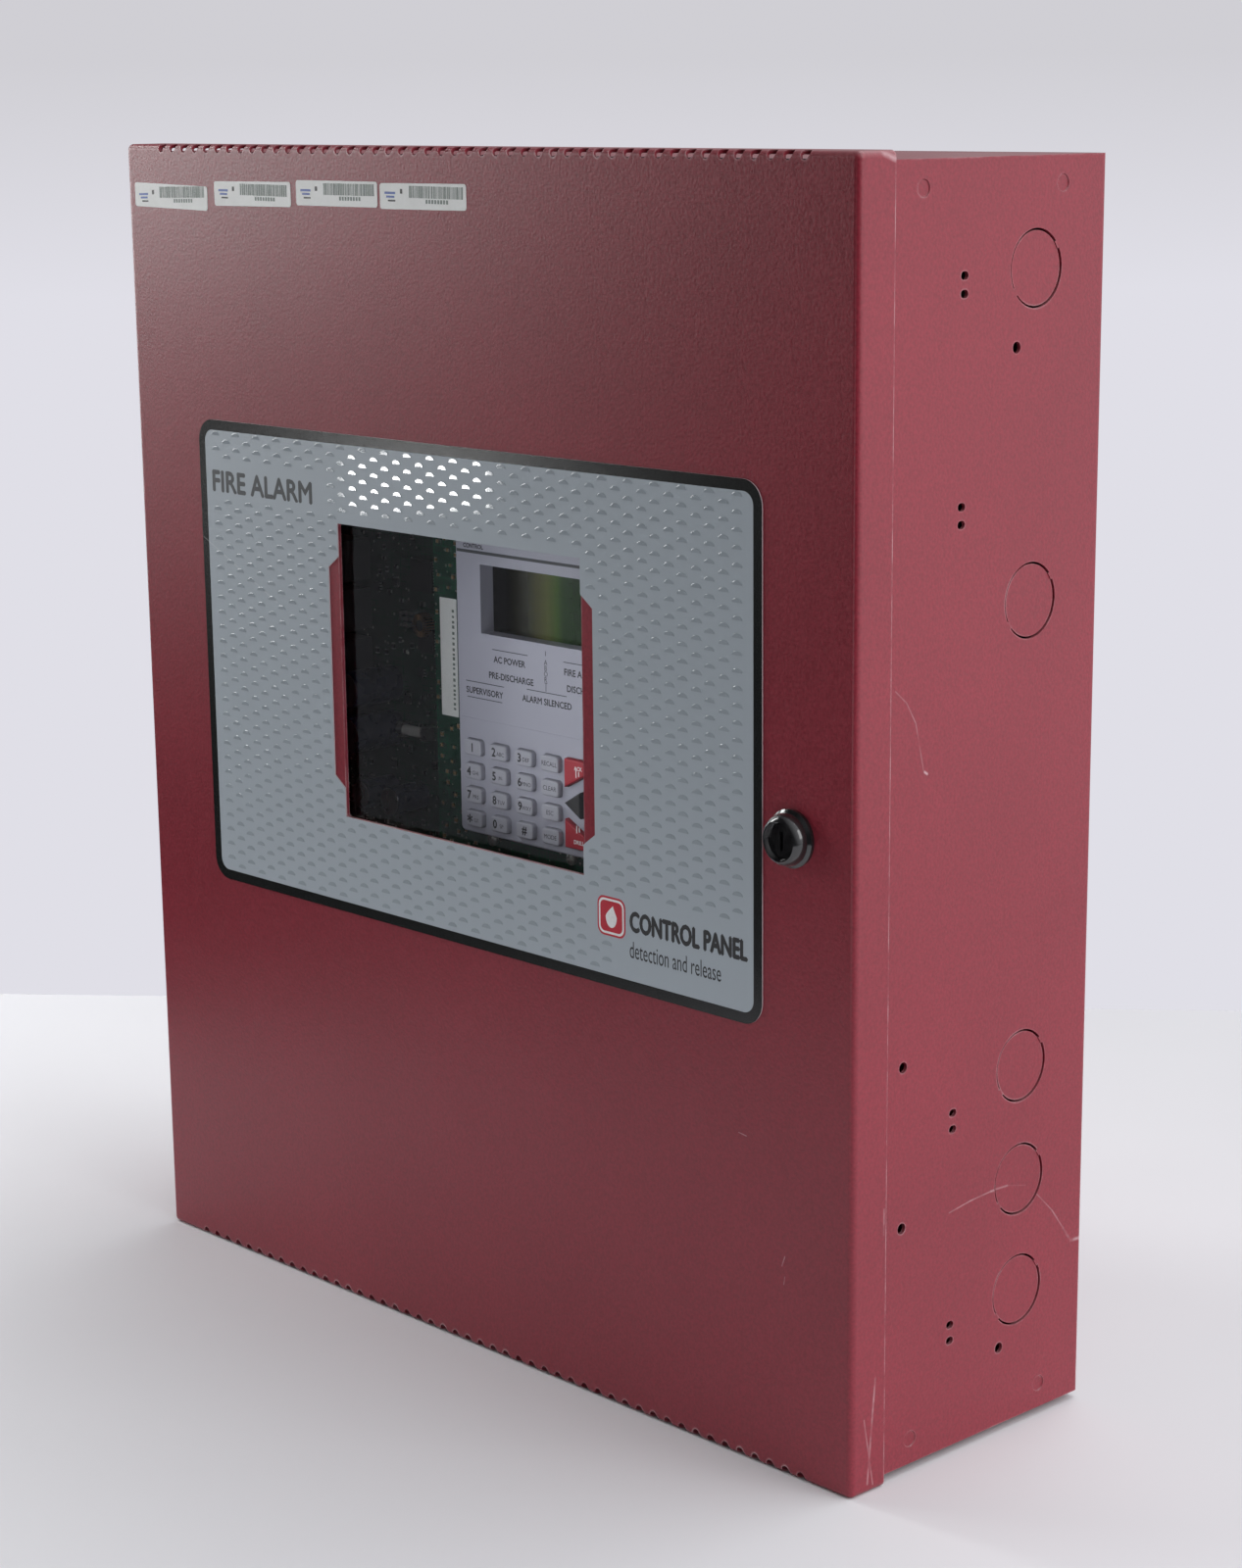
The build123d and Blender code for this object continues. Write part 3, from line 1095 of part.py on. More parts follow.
LEAD_START_Y = CORE_BACK - CORE_STACK - (COIL_D - CORE_STACK) / 4
LEAD_START_Z = CORE_Z + COIL_H / 2
LEAD_END_Y = BOARD_FRONT - BLOCK_TALL / 2

with BuildPart() as transformer_leads:
    for index in range(LEAD_COUNT):
        start_x = CORE_X + (index - (LEAD_COUNT - 1) / 2) * LEAD_PITCH
        end_x = POWER_XS[index + 1]
        run = (BOARD_BOTTOM - LEAD_START_Z) / 3
        with BuildLine() as route:
            FilletPolyline(
                (start_x, LEAD_START_Y, LEAD_START_Z),
                (start_x, LEAD_START_Y, LEAD_START_Z + run),
                (end_x, LEAD_END_Y, BOARD_BOTTOM - run),
                (end_x, LEAD_END_Y, BOARD_BOTTOM),
                radius=run,
            )
        with BuildSketch(Plane(origin=route.line @ 0, z_dir=route.line % 0)):
            Circle(LEAD_R)
        sweep(path=route.line)
    print("transformer lead bend radius", run)
transformer_leads.part.label = "transformer_leads"
export_step(transformer_leads.part, "parts/transformer_leads.step")
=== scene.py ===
import math
import random

import bmesh
import bpy
from mathutils import Matrix, Quaternion, Vector


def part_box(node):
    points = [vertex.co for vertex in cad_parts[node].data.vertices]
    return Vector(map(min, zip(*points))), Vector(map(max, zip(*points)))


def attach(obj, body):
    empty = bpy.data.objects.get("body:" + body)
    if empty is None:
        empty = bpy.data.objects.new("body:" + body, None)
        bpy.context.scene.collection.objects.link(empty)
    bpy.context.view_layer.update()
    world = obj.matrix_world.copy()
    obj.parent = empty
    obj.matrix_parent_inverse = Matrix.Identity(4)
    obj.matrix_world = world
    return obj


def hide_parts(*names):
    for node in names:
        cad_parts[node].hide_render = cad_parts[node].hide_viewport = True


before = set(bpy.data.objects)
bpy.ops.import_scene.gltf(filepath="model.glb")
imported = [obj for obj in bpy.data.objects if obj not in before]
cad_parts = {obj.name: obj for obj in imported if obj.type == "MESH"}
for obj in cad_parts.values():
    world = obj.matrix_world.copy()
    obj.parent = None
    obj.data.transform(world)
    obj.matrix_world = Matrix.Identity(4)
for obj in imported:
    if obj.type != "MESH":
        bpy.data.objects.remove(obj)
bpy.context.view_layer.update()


# ---- View -------------------------------------------------------------------------------------------
# The panel stands on a pale table. The camera is in front of it, to the right and a little above
# its middle, and a second lamp to the left shows in the glossy pips of the front label.
CAMERA_AT = Vector((0.9524, -0.9417, 0.2647))
CAMERA_LOOK = Vector((-0.7066, 0.6687, -0.2313))
CAMERA_ROLL = math.radians(0.55)
LENS = 73.0
LENS_SHIFT = (-0.0092, 0.0403)
TABLE_TURN = math.radians(-4.8)
TABLE_FAR = 1.75
TABLE_NEAR = 0.35
TABLE_LEFT = 0.66
TABLE_RIGHT = 1.15


def feed(made, inputs):
    """Sets each of a node's inputs to a value, or links it to the socket given."""
    for key, value in inputs.items():
        if isinstance(value, bpy.types.NodeSocket):
            made.id_data.links.new(value, made.inputs[key])
        else:
            made.inputs[key].default_value = value


def node(tree, kind, inputs=None, **settings):
    """Adds a node with its settings and inputs."""
    made = tree.nodes.new(kind)
    for key, value in settings.items():
        setattr(made, key, value)
    feed(made, inputs or {})
    return made


def tree_of(*values):
    """The node tree that the first socket among some values belongs to."""
    return next(value.id_data for value in values if isinstance(value, bpy.types.NodeSocket))


def maths(operation, first, second=0.0, clamp=False):
    """One Math node, as its output socket."""
    return node(tree_of(first, second), "ShaderNodeMath", {0: first, 1: second}, operation=operation,
                use_clamp=clamp).outputs[0]


def vectors(operation, first, second=(0, 0, 0), result=0):
    """One Vector Math node, as one of its output sockets."""
    return node(tree_of(first, second), "ShaderNodeVectorMath", {0: first, 1: second},
                operation=operation).outputs[result]


def noise(place, scale, detail=2.0, roughness=0.5):
    """Noise between 0 and 1."""
    return node(place.id_data, "ShaderNodeTexNoise", {"Vector": place, "Scale": scale, "Detail": detail,
                                                      "Roughness": roughness}).outputs["Fac"]


def spread(value, low, high, least=0.0, most=1.0):
    """A value from low to high, carried over to least to most and kept between them."""
    return node(value.id_data, "ShaderNodeMapRange",
                {0: value, 1: low, 2: high, 3: least, 4: most}).outputs[0]


def mix_colour(factor, first, second):
    """The colour between two colours or sockets."""
    return node(tree_of(factor, first, second), "ShaderNodeMix", {0: factor, 6: first, 7: second},
                data_type="RGBA").outputs[2]


def new_material(name):
    """A material, its tree, its Principled shader and the object's own coordinates."""
    material = bpy.data.materials.new(name)
    material.use_nodes = True
    tree = material.node_tree
    place = node(tree, "ShaderNodeTexCoord").outputs["Object"]
    return material, tree, tree.nodes["Principled BSDF"], place


def put(name, data):
    """An object in the scene for a mesh, a lamp, a camera or a text."""
    made = bpy.data.objects.new(name, data)
    bpy.context.scene.collection.objects.link(made)
    return made


def to_mesh(name, shape, *materials):
    """Turns a bmesh into a mesh object and frees it."""
    mesh = bpy.data.meshes.new(name)
    shape.to_mesh(mesh)
    shape.free()
    for material in materials:
        mesh.materials.append(material)
    return put(name, mesh)


def mesh_piece(name, build, material=None, body=None):
    """A mesh object made by build(bmesh), with its faces turned outwards."""
    shape = bmesh.new()
    build(shape)
    bmesh.ops.recalc_face_normals(shape, faces=shape.faces)
    made = to_mesh(name, shape, *([material] if material else []))
    if body:
        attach(made, body)
    return made


def corners(name):
    """A CAD node's low and high corner."""
    return [Vector(corner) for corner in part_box(name)]


lens = bpy.data.cameras.new("camera")
lens.lens = LENS
lens.shift_x, lens.shift_y = LENS_SHIFT
camera = put("camera", lens)
camera.location = CAMERA_AT
camera.rotation_mode = "QUATERNION"
camera.rotation_quaternion = CAMERA_LOOK.to_track_quat("-Z", "Y") @ Quaternion((0, 0, 1), -CAMERA_ROLL)
bpy.context.scene.camera = camera
bpy.context.scene.view_settings.view_transform = "Standard"

table_paint, tree, shader, place = new_material("table_paint")
mottle = noise(place, 3.0, 3.0)
feed(shader, {"Base Color": mix_colour(mottle, (0.70, 0.70, 0.72, 1), (0.78, 0.78, 0.80, 1)),
              "Roughness": 0.7})

table_z = corners("door")[0].z
ahead = Vector((CAMERA_LOOK.x, CAMERA_LOOK.y, 0)).normalized()
ahead.rotate(Quaternion((0, 0, 1), TABLE_TURN))
across = Vector((ahead.y, -ahead.x, 0))


def table_top(shape):
    corners = [CAMERA_AT + ahead * away + across * side for away, side in
               ((TABLE_FAR, -TABLE_LEFT), (TABLE_FAR, TABLE_RIGHT), (TABLE_NEAR, TABLE_RIGHT),
                (TABLE_NEAR, -TABLE_LEFT))]
    shape.faces.new([shape.verts.new((corner.x, corner.y, table_z)) for corner in corners])


table = mesh_piece("table", table_top, table_paint)
if table.data.polygons[0].normal.z < 0:
    table.data.flip_normals()

# The room: bright above, behind and to the right, dim where the camera looks from
SKY_TOWARDS = Vector((0.60, 0.60, 0.53)).normalized()
SKY_DIM = 0.0
SKY_BRIGHT = 1.2
WALL_LOW = (0.745, 0.738, 0.800, 1)
WALL_HIGH = (0.630, 0.622, 0.660, 1)

world = bpy.data.worlds.new("room")
world.use_nodes = True
bpy.context.scene.world = world
tree = world.node_tree
tree.nodes.clear()
heading = node(tree, "ShaderNodeTexCoord").outputs["Generated"]
facing = vectors("DOT_PRODUCT", heading, SKY_TOWARDS, result="Value")
glow = spread(facing, -0.05, 0.8, SKY_DIM, SKY_BRIGHT)
room = node(tree, "ShaderNodeBackground", {"Color": (0.95, 0.96, 1.0, 1), "Strength": glow})
level = node(tree, "ShaderNodeSeparateXYZ", {0: heading}).outputs["Z"]
height = spread(level, -0.06, 0.01)
wall = node(tree, "ShaderNodeBackground", {"Color": mix_colour(height, WALL_LOW, WALL_HIGH), "Strength": 1.0})
paths = node(tree, "ShaderNodeLightPath").outputs
seen = maths("MAXIMUM", paths["Is Camera Ray"], paths["Is Transmission Ray"])
mixed = node(tree, "ShaderNodeMixShader", {0: seen, 1: room.outputs[0], 2: wall.outputs[0]})
node(tree, "ShaderNodeOutputWorld", {"Surface": mixed.outputs[0]})

# name, place, what it points at, width, height, watts
LAMPS = (
    ("right_lamp", (2.3, 0.25, 1.1), (0.2, 0.0, 0.05), 1.6, 1.6, 21.0),
    ("left_softbox", (-1.26, -0.80, 0.40), (-0.1, -0.136, 0.2), 0.54, 0.52, 5.2),
    ("left_strip", (-0.86, -0.27, 0.35), (0.0, -0.136, 0.05), 0.16, 0.9, 3.2),
    ("back_lamp", (0.3, 0.7, 2.0), (0.1, 0.1, -0.2), 1.8, 1.2, 11.0),
    ("front_lamp", (0.10, -1.75, -0.15), (0.0, -0.1, 0.02), 0.40, 0.25, 1.3),
    ("glint_lamp", (-1.48, -1.34, -0.11), (-0.03, -0.136, 0.115), 0.14, 0.055, 0.42),
)
for name, at, aim, wide, high, watts in LAMPS:
    lamp = bpy.data.lights.new(name, "AREA")
    lamp.shape = "RECTANGLE"
    lamp.size, lamp.size_y = wide, high
    lamp.energy = watts
    light = put(name, lamp)
    light.location = at
    light.rotation_euler = (Vector(aim) - Vector(at)).to_track_quat("-Z", "Y").to_euler()


# ---- Backbox ----------------------------------------------------------------------------------------
# The box is folded from 1.5 mm steel, with top and bottom panels clinched into its side walls.
# It is finished in a dark red textured powder coat, rubbed pale along its edges and scratched.
PAINT_RED = (0.245, 0.021, 0.036, 1)
PAINT_WORN = (0.62, 0.40, 0.42, 1)


def new_group(name, kind, inputs, outputs):
    """A node group, its tree's input sockets and its output node."""
    group = bpy.data.node_groups.new(name, kind)
    for label, socket, value in inputs:
        made = group.interface.new_socket(label, in_out="INPUT", socket_type=socket)
        if value is not None:
            made.default_value = value
    for label, socket in outputs:
        group.interface.new_socket(label, in_out="OUTPUT", socket_type=socket)
    return group, node(group, "NodeGroupInput").outputs, node(group, "NodeGroupOutput").inputs


def send(socket, target):
    """Links a socket to an input."""
    socket.id_data.links.new(socket, target)


def relief(shader, height, strength, distance):
    """Raises a surface by a height, as a bump."""
    bump = node(shader.id_data, "ShaderNodeBump",
                {"Height": height, "Strength": strength, "Distance": distance})
    feed(shader, {"Normal": bump.outputs[0]})


VECTOR, NUMBER = "NodeSocketVector", "NodeSocketFloat"

# Powder coat's grain: a fine pebbled height with a slow drift of tone
powder_grain, given, out = new_group(
    "powder_grain", "ShaderNodeTree",
    (("Vector", VECTOR, None), ("Grain", NUMBER, 850.0), ("Drift", NUMBER, 9.0)),
    (("Height", NUMBER), ("Tone", NUMBER)))
pebble = node(powder_grain, "ShaderNodeTexVoronoi", {"Vector": given["Vector"], "Scale": given["Grain"]},
              feature="SMOOTH_F1")
fine = noise(given["Vector"], given["Grain"], 2.0)
send(maths("ADD", pebble.outputs["Distance"], fine), out["Height"])
drift = noise(given["Vector"], given["Drift"], 4.0)
speckle = spread(fine, 0.3, 0.7, 0.86, 1.14)
slow = spread(drift, 0.3, 0.7, 0.93, 1.07)
send(maths("MULTIPLY", speckle, slow), out["Tone"])

# Edge wear: where a rounded normal leaves the true one, broken up by noise
edge_wear, given, out = new_group(
    "edge_wear", "ShaderNodeTree",
    (("Vector", VECTOR, None), ("Rounded", VECTOR, None), ("Normal", VECTOR, None), ("Amount", NUMBER, 0.5)),
    (("Mask", NUMBER),))
bent = vectors("DOT_PRODUCT", given["Rounded"], given["Normal"], result="Value")
rim = spread(bent, 0.97, 0.80, 0.0, 1.0)
patchy = noise(given["Vector"], 60.0, 6.0, 0.7)
torn = spread(patchy, 0.42, 0.62, 0.12, 1.0)
worn = maths("MULTIPLY", rim, torn)
send(maths("MULTIPLY", worn, given["Amount"], clamp=True), out["Mask"])

# A scratch: the band around a line from Start to End, faint and bright by turns
scratch_line, given, out = new_group(
    "scratch_line", "ShaderNodeTree",
    (("Vector", VECTOR, None), ("Start", VECTOR, None), ("End", VECTOR, None), ("Width", NUMBER, 0.0004),
     ("Strength", NUMBER, 1.0)),
    (("Mask", NUMBER),))
along = vectors("SUBTRACT", given["End"], given["Start"])
reach = vectors("SUBTRACT", given["Vector"], given["Start"])
top = vectors("DOT_PRODUCT", reach, along, result="Value")
low = vectors("DOT_PRODUCT", along, along, result="Value")
share = maths("DIVIDE", top, low, clamp=True)
foot = node(scratch_line, "ShaderNodeVectorMath", {0: along, "Scale": share}, operation="SCALE")
wobble = noise(given["Vector"], 90.0, 4.0)
gap = vectors("DISTANCE", reach, foot.outputs[0], result="Value")
near = maths("DIVIDE", gap, given["Width"])
band = maths("SUBTRACT", 1.0, near, clamp=True)
faded = spread(wobble, 0.35, 0.6, 0.15, 1.0)
seen = maths("MULTIPLY", band, faded)
send(maths("MULTIPLY", seen, given["Strength"], clamp=True), out["Mask"])

# Dust: settles on what faces up, in soft patches
dust_film, given, out = new_group(
    "dust_film", "ShaderNodeTree",
    (("Vector", VECTOR, None), ("Normal", VECTOR, None), ("Amount", NUMBER, 0.3)),
    (("Mask", NUMBER),))
upward = node(dust_film, "ShaderNodeSeparateXYZ", {0: given["Normal"]}).outputs["Z"]
patch = noise(given["Vector"], 25.0, 5.0)
thick = maths("MULTIPLY", maths("MAXIMUM", upward, 0.0), patch)
send(maths("MULTIPLY", thick, given["Amount"], clamp=True), out["Mask"])


def powder_coat(name, scratches, wear):
    """Red textured paint with its own scratches, each given as start, end, half width and strength."""
    material, tree, shader, place = new_material(name)
    grain = node(tree, "ShaderNodeGroup", {"Vector": place}, node_tree=powder_grain)
    normal = node(tree, "ShaderNodeNewGeometry").outputs["Normal"]
    rounded = node(tree, "ShaderNodeBevel", {"Radius": 0.0012}, samples=4).outputs[0]
    edges = node(tree, "ShaderNodeGroup", {"Vector": place, "Rounded": rounded, "Normal": normal,
                                           "Amount": wear},
                 node_tree=edge_wear)
    tinted = node(tree, "ShaderNodeVectorMath", {0: PAINT_RED[:3], "Scale": grain.outputs["Tone"]},
                  operation="SCALE").outputs[0]
    worn = edges.outputs["Mask"]
    for start, end, half_width, strength in scratches:
        mark = node(tree, "ShaderNodeGroup",
                    {"Vector": place, "Start": start, "End": end, "Width": half_width,
                     "Strength": strength}, node_tree=scratch_line)
        worn = maths("MAXIMUM", worn, mark.outputs["Mask"])
    dust = node(tree, "ShaderNodeGroup", {"Vector": place, "Normal": normal, "Amount": 0.35},
                node_tree=dust_film)
    painted = mix_colour(worn, tinted, PAINT_WORN)
    dusty = mix_colour(dust.outputs["Mask"], painted, (0.45, 0.40, 0.40, 1))
    feed(shader, {"Base Color": dusty})
    feed(shader, {"Roughness": spread(grain.outputs["Height"], 0.3, 1.3, 0.27, 0.40)})
    relief(shader, grain.outputs["Height"], 0.35, 0.00012)
    return material


def finish_nodes(material, *names):
    """Gives CAD nodes their material in every slot."""
    for name in names:
        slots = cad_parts[name].material_slots
        for slot in slots:
            slot.material = material


BOX_SIDE = corners("backbox")[1].x
BOX_SCRATCHES = [
    ((BOX_SIDE, -0.0800, -0.1465), (BOX_SIDE, -0.0680, -0.1448), 0.0005, 0.45),
    ((BOX_SIDE, -0.0680, -0.1448), (BOX_SIDE, -0.0560, -0.1440), 0.0005, 0.60),
    ((BOX_SIDE, -0.0560, -0.1440), (BOX_SIDE, -0.0460, -0.1443), 0.0007, 0.95),
    ((BOX_SIDE, -0.0460, -0.1443), (BOX_SIDE, -0.0350, -0.1468), 0.0005, 0.60),
    ((BOX_SIDE, -0.0290, -0.1515), (BOX_SIDE, -0.0190, -0.1610), 0.0004, 0.40),
    ((BOX_SIDE, -0.0190, -0.1610), (BOX_SIDE, -0.0120, -0.1700), 0.0005, 0.50),
    ((BOX_SIDE, -0.0120, -0.1700), (BOX_SIDE, -0.0070, -0.1765), 0.0008, 0.80),
    ((BOX_SIDE, -0.0070, -0.1765), (BOX_SIDE, -0.0010, -0.1770), 0.0010, 0.95),
    ((BOX_SIDE, -0.1130, 0.0570), (BOX_SIDE, -0.1070, 0.0520), 0.0004, 0.35),
    ((BOX_SIDE, -0.1070, 0.0520), (BOX_SIDE, -0.1020, 0.0440), 0.0004, 0.35),
    ((BOX_SIDE, -0.1020, 0.0440), (BOX_SIDE, -0.0975, 0.0260), 0.0004, 0.30),
    ((BOX_SIDE, -0.0970, 0.0255), (BOX_SIDE, -0.0955, 0.0245), 0.0007, 1.0),
]
box_paint = powder_coat("box_paint", BOX_SCRATCHES, 0.5)
finish_nodes(box_paint, "backbox", "top_panel", "bottom_panel", "box_hinge_leaves")


# ---- Door -------------------------------------------------------------------------------------------
# The door is a shallow pan of the same steel and paint, on two hinges at its left. Its folded edges,
# and its right one above all, have rubbed through to pale primer.
door_low, door_high = corners("door")
DOOR_FACE = door_low.y
CORNER = Vector((door_high.x, DOOR_FACE + 0.001, door_low.z))
DOOR_SCRATCHES = [
    (CORNER + Vector((0, 0.012, 0.045)), CORNER + Vector((0, 0.008, 0.004)), 0.0007, 0.8),
    (CORNER + Vector((0, 0.006, 0.030)), CORNER + Vector((0, 0.011, 0.003)), 0.0005, 0.6),
    (CORNER + Vector((0, 0.016, 0.100)), CORNER + Vector((0, 0.016, 0.110)), 0.0006, 0.9),
    (CORNER + Vector((-0.0355, -0.001, 0.083)), CORNER + Vector((-0.034, -0.001, 0.087)), 0.0004, 0.8),
    (CORNER + Vector((-0.0345, -0.001, 0.076)), CORNER + Vector((-0.034, -0.001, 0.079)), 0.0004, 0.7),
    (CORNER + Vector((-0.058, -0.001, 0.130)), CORNER + Vector((-0.054, -0.001, 0.1295)), 0.0003, 0.6),
    ((door_high.x, door_high.y - 0.006, door_high.z - 0.001), (door_high.x, door_high.y, door_high.z - 0.003),
     0.0016, 1.0),
]
door_paint = powder_coat("door_paint", DOOR_SCRATCHES, 0.8)
finish_nodes(door_paint, "door", "door_hinge_leaves")


# ---- Hinge pins, lock nut, cam and screws -----------------------------------------------------------
# Small steel hardware, turned or stamped and then zinc plated, with the fine lengthwise brushing of
# drawn bar. The pins hold the hinge leaves together, and the nut holds the lock in the door.
def brushed_metal(name, colour, roughness, stretch, spangle=0.0):
    """Bright metal with fine drawn lines, and a galvanised spangle where asked."""
    material, tree, shader, place = new_material(name)
    drawn = node(tree, "ShaderNodeMapping", {"Vector": place, "Scale": stretch})
    lines = noise(drawn.outputs[0], 400.0, 3.0)
    flakes = node(tree, "ShaderNodeTexVoronoi", {"Vector": place, "Scale": 140.0})
    flake = node(tree, "ShaderNodeSeparateColor", {0: flakes.outputs["Color"]}).outputs[0]
    share = maths("ADD", maths("MULTIPLY", lines, 0.6),
                  maths("MULTIPLY", flake, spangle))
    dark = tuple(part * 0.72 for part in colour[:3]) + (1,)
    feed(shader, {"Base Color": mix_colour(share, dark, colour),
                  "Metallic": 1.0})
    feed(shader, {"Roughness": spread(share, 0.1, 0.9, roughness, roughness + 0.18)})
    relief(shader, lines, 0.15, 0.00005)
    return material


zinc = brushed_metal("zinc_plate", (0.62, 0.62, 0.59, 1), 0.28, (1.0, 1.0, 0.1))
finish_nodes(zinc, "hinge_pins", "lock_nut", "lock_cam", "lock_cam_screw", "stud_nuts", "standoffs")


# ---- Front label ------------------------------------------------------------------------------------
# A screen-printed polycarbonate sheet around the window: a charcoal border, a blue-grey field and
# rows of raised, glossy half-round pips. The words on it are plain and generic.
MM = 0.001
LABEL_GREY = (0.430, 0.485, 0.530, 1)
LABEL_BORDER = (0.015, 0.016, 0.016, 1)
BORDER_WIDE = 0.0043
LABEL_CORNER = 0.0095
label_low, label_high = corners("overlay_label")
label_middle = (label_low + label_high) / 2
label_half = (label_high - label_low) / 2
LABEL_FACE = label_low.y

# Inside a rounded rectangle in the XZ plane: the distance to its outline, negative inside
rounded_frame, given, out = new_group(
    "rounded_frame", "ShaderNodeTree",
    (("Vector", VECTOR, None), ("Middle", VECTOR, None), ("Half", VECTOR, None), ("Corner", NUMBER, 0.01)),
    (("Distance", NUMBER),))
offset = vectors("SUBTRACT", given["Vector"], given["Middle"])
folded = vectors("ABSOLUTE", offset)
beyond = vectors("SUBTRACT", folded, given["Half"])
parts = node(rounded_frame, "ShaderNodeSeparateXYZ", {0: beyond}).outputs
side = maths("ADD", parts["X"], given["Corner"])
rise = maths("ADD", parts["Z"], given["Corner"])
outer = node(rounded_frame, "ShaderNodeCombineXYZ", {"X": maths("MAXIMUM", side, 0.0),
                                                     "Z": maths("MAXIMUM", rise, 0.0)})
length = node(rounded_frame, "ShaderNodeVectorMath", {0: outer.outputs[0]},
              operation="LENGTH").outputs["Value"]
inner = maths("MINIMUM", maths("MAXIMUM", side, rise), 0.0)
span = maths("SUBTRACT", maths("ADD", length, inner), given["Corner"])
send(span, out["Distance"])

label_print, tree, shader, place = new_material("label_print")
outline = node(tree, "ShaderNodeGroup", {"Vector": place, "Middle": label_middle, "Half": label_half,
                                         "Corner": LABEL_CORNER}, node_tree=rounded_frame)
border = spread(outline.outputs[0], -BORDER_WIDE - 0.0001, -BORDER_WIDE)
fleck = noise(place, 2200.0, 1.0)
grey = mix_colour(fleck, tuple(part * 0.93 for part in LABEL_GREY[:3]) + (1,), LABEL_GREY)
printed = mix_colour(border, grey, LABEL_BORDER)
scratch = node(tree, "ShaderNodeGroup", {"Vector": place, "Start": (-0.1690, LABEL_FACE, 0.0800),
                                         "End": (-0.1170, LABEL_FACE, 0.0560), "Width": 0.0003,
                                         "Strength": 0.5}, node_tree=scratch_line)
marked = mix_colour(scratch.outputs["Mask"], printed, (0.8, 0.8, 0.8, 1))
facing = node(tree, "ShaderNodeSeparateXYZ", {0: node(tree, "ShaderNodeNewGeometry").outputs["Normal"]})
cut = maths("GREATER_THAN", facing.outputs["Y"], -0.5)
feed(shader, {"Base Color": mix_colour(cut, marked, (0.60, 0.52, 0.54, 1)),
              "Roughness": spread(border, 0.0, 1.0, 0.46, 0.20)})
relief(shader, fleck, 0.25, 0.00003)
finish_nodes(label_print, "overlay_label")

pip_gloss, tree, shader, place = new_material("pip_gloss")
# The pips' grey is painted darker than the label's field, as painted shade on their facets; the noise only
# varies their tone and gloss.
sheen = noise(place, 120.0, 2.0)
feed(shader, {"Base Color": mix_colour(sheen, (0.35, 0.395, 0.43, 1), (0.41, 0.46, 0.50, 1)),
              "Roughness": spread(sheen, 0.0, 1.0, 0.03, 0.07), "Coat Weight": 0.6, "Coat Roughness": 0.03})

PIP_ACROSS = 0.0136
PIP_ROW = 0.00315
PIP_WIDE = 0.0054
PIP_HIGH = 0.0017
PIP_RAISE = 0.00012
PIP_STEPS = 8


def half_round(shape):
    """One pip: a flattened half round with a flat lower edge, eased at its rim."""
    rings = []
    for scale, raise_to in ((1.0, 0.0), (1.0, 0.6), (0.9, 1.0)):
        ring = [shape.verts.new((math.cos(math.pi * i / PIP_STEPS) * PIP_WIDE / 2 * scale,
                                 -PIP_RAISE * raise_to,
                                 math.sin(math.pi * i / PIP_STEPS) * PIP_HIGH * scale))
                for i in range(PIP_STEPS + 1)]
        rings.append(ring)
    for lower, upper in zip(rings, rings[1:]):
        count = len(lower)
        for i in range(count):
            j = (i + 1) % count
            shape.faces.new((lower[i], lower[j], upper[j], upper[i]))
    shape.faces.new(rings[-1])
    shape.faces.new(rings[0][::-1])


def plain_mesh(made, name):
    """The evaluated result of an object's modifiers as a plain mesh object, in place of the object."""
    graph = bpy.context.evaluated_depsgraph_get()
    mesh = bpy.data.meshes.new_from_object(made.evaluated_get(graph), preserve_all_data_layers=True,
                                           depsgraph=graph)
    mesh.name = name
    source = made.data
    made.modifiers.clear()
    bpy.data.objects.remove(made)
    if source.users == 0:
        bpy.data.meshes.remove(source)
    return put(name, mesh)


# Pip field: a staggered grid in the label's plane, without the border, the window and the words
OBJECT, MATERIAL, WHOLE, GEOMETRY = ("NodeSocketObject", "NodeSocketMaterial", "NodeSocketInt",
                                     "NodeSocketGeometry")
pip_field, given, out = new_group(
    "pip_field", "GeometryNodeTree",
    (("Geometry", GEOMETRY, None), ("Pip", OBJECT, None), ("Columns", WHOLE, 24), ("Rows", WHOLE, 60),
     ("Across", NUMBER, PIP_ACROSS), ("Row", NUMBER, PIP_ROW), ("Finish", MATERIAL, None)),
    (("Geometry", GEOMETRY),))
wide = maths("MULTIPLY", given["Across"], given["Columns"])
tall = maths("MULTIPLY", given["Row"], given["Rows"])
grid = node(pip_field, "GeometryNodeMeshGrid",
            {"Size X": wide, "Size Y": tall, "Vertices X": given["Columns"],
                                                "Vertices Y": given["Rows"]})
index = node(pip_field, "GeometryNodeInputIndex").outputs[0]
row = maths("MODULO", index, given["Rows"])
shift = maths("MULTIPLY", maths("MODULO", row, 2.0),
              maths("MULTIPLY", given["Across"], 0.5))
flat = node(pip_field, "ShaderNodeSeparateXYZ", {0: node(pip_field, "GeometryNodeInputPosition").outputs[0]})
stand = node(pip_field, "ShaderNodeCombineXYZ", {"X": maths("ADD", flat.outputs["X"], shift),
                                                 "Z": flat.outputs["Y"]})
placed = node(pip_field, "GeometryNodeSetPosition", {"Geometry": grid.outputs["Mesh"],
                                                     "Position": stand.outputs[0]})
where = node(pip_field, "ShaderNodeSeparateXYZ", {0: node(pip_field, "GeometryNodeInputPosition").outputs[0]})
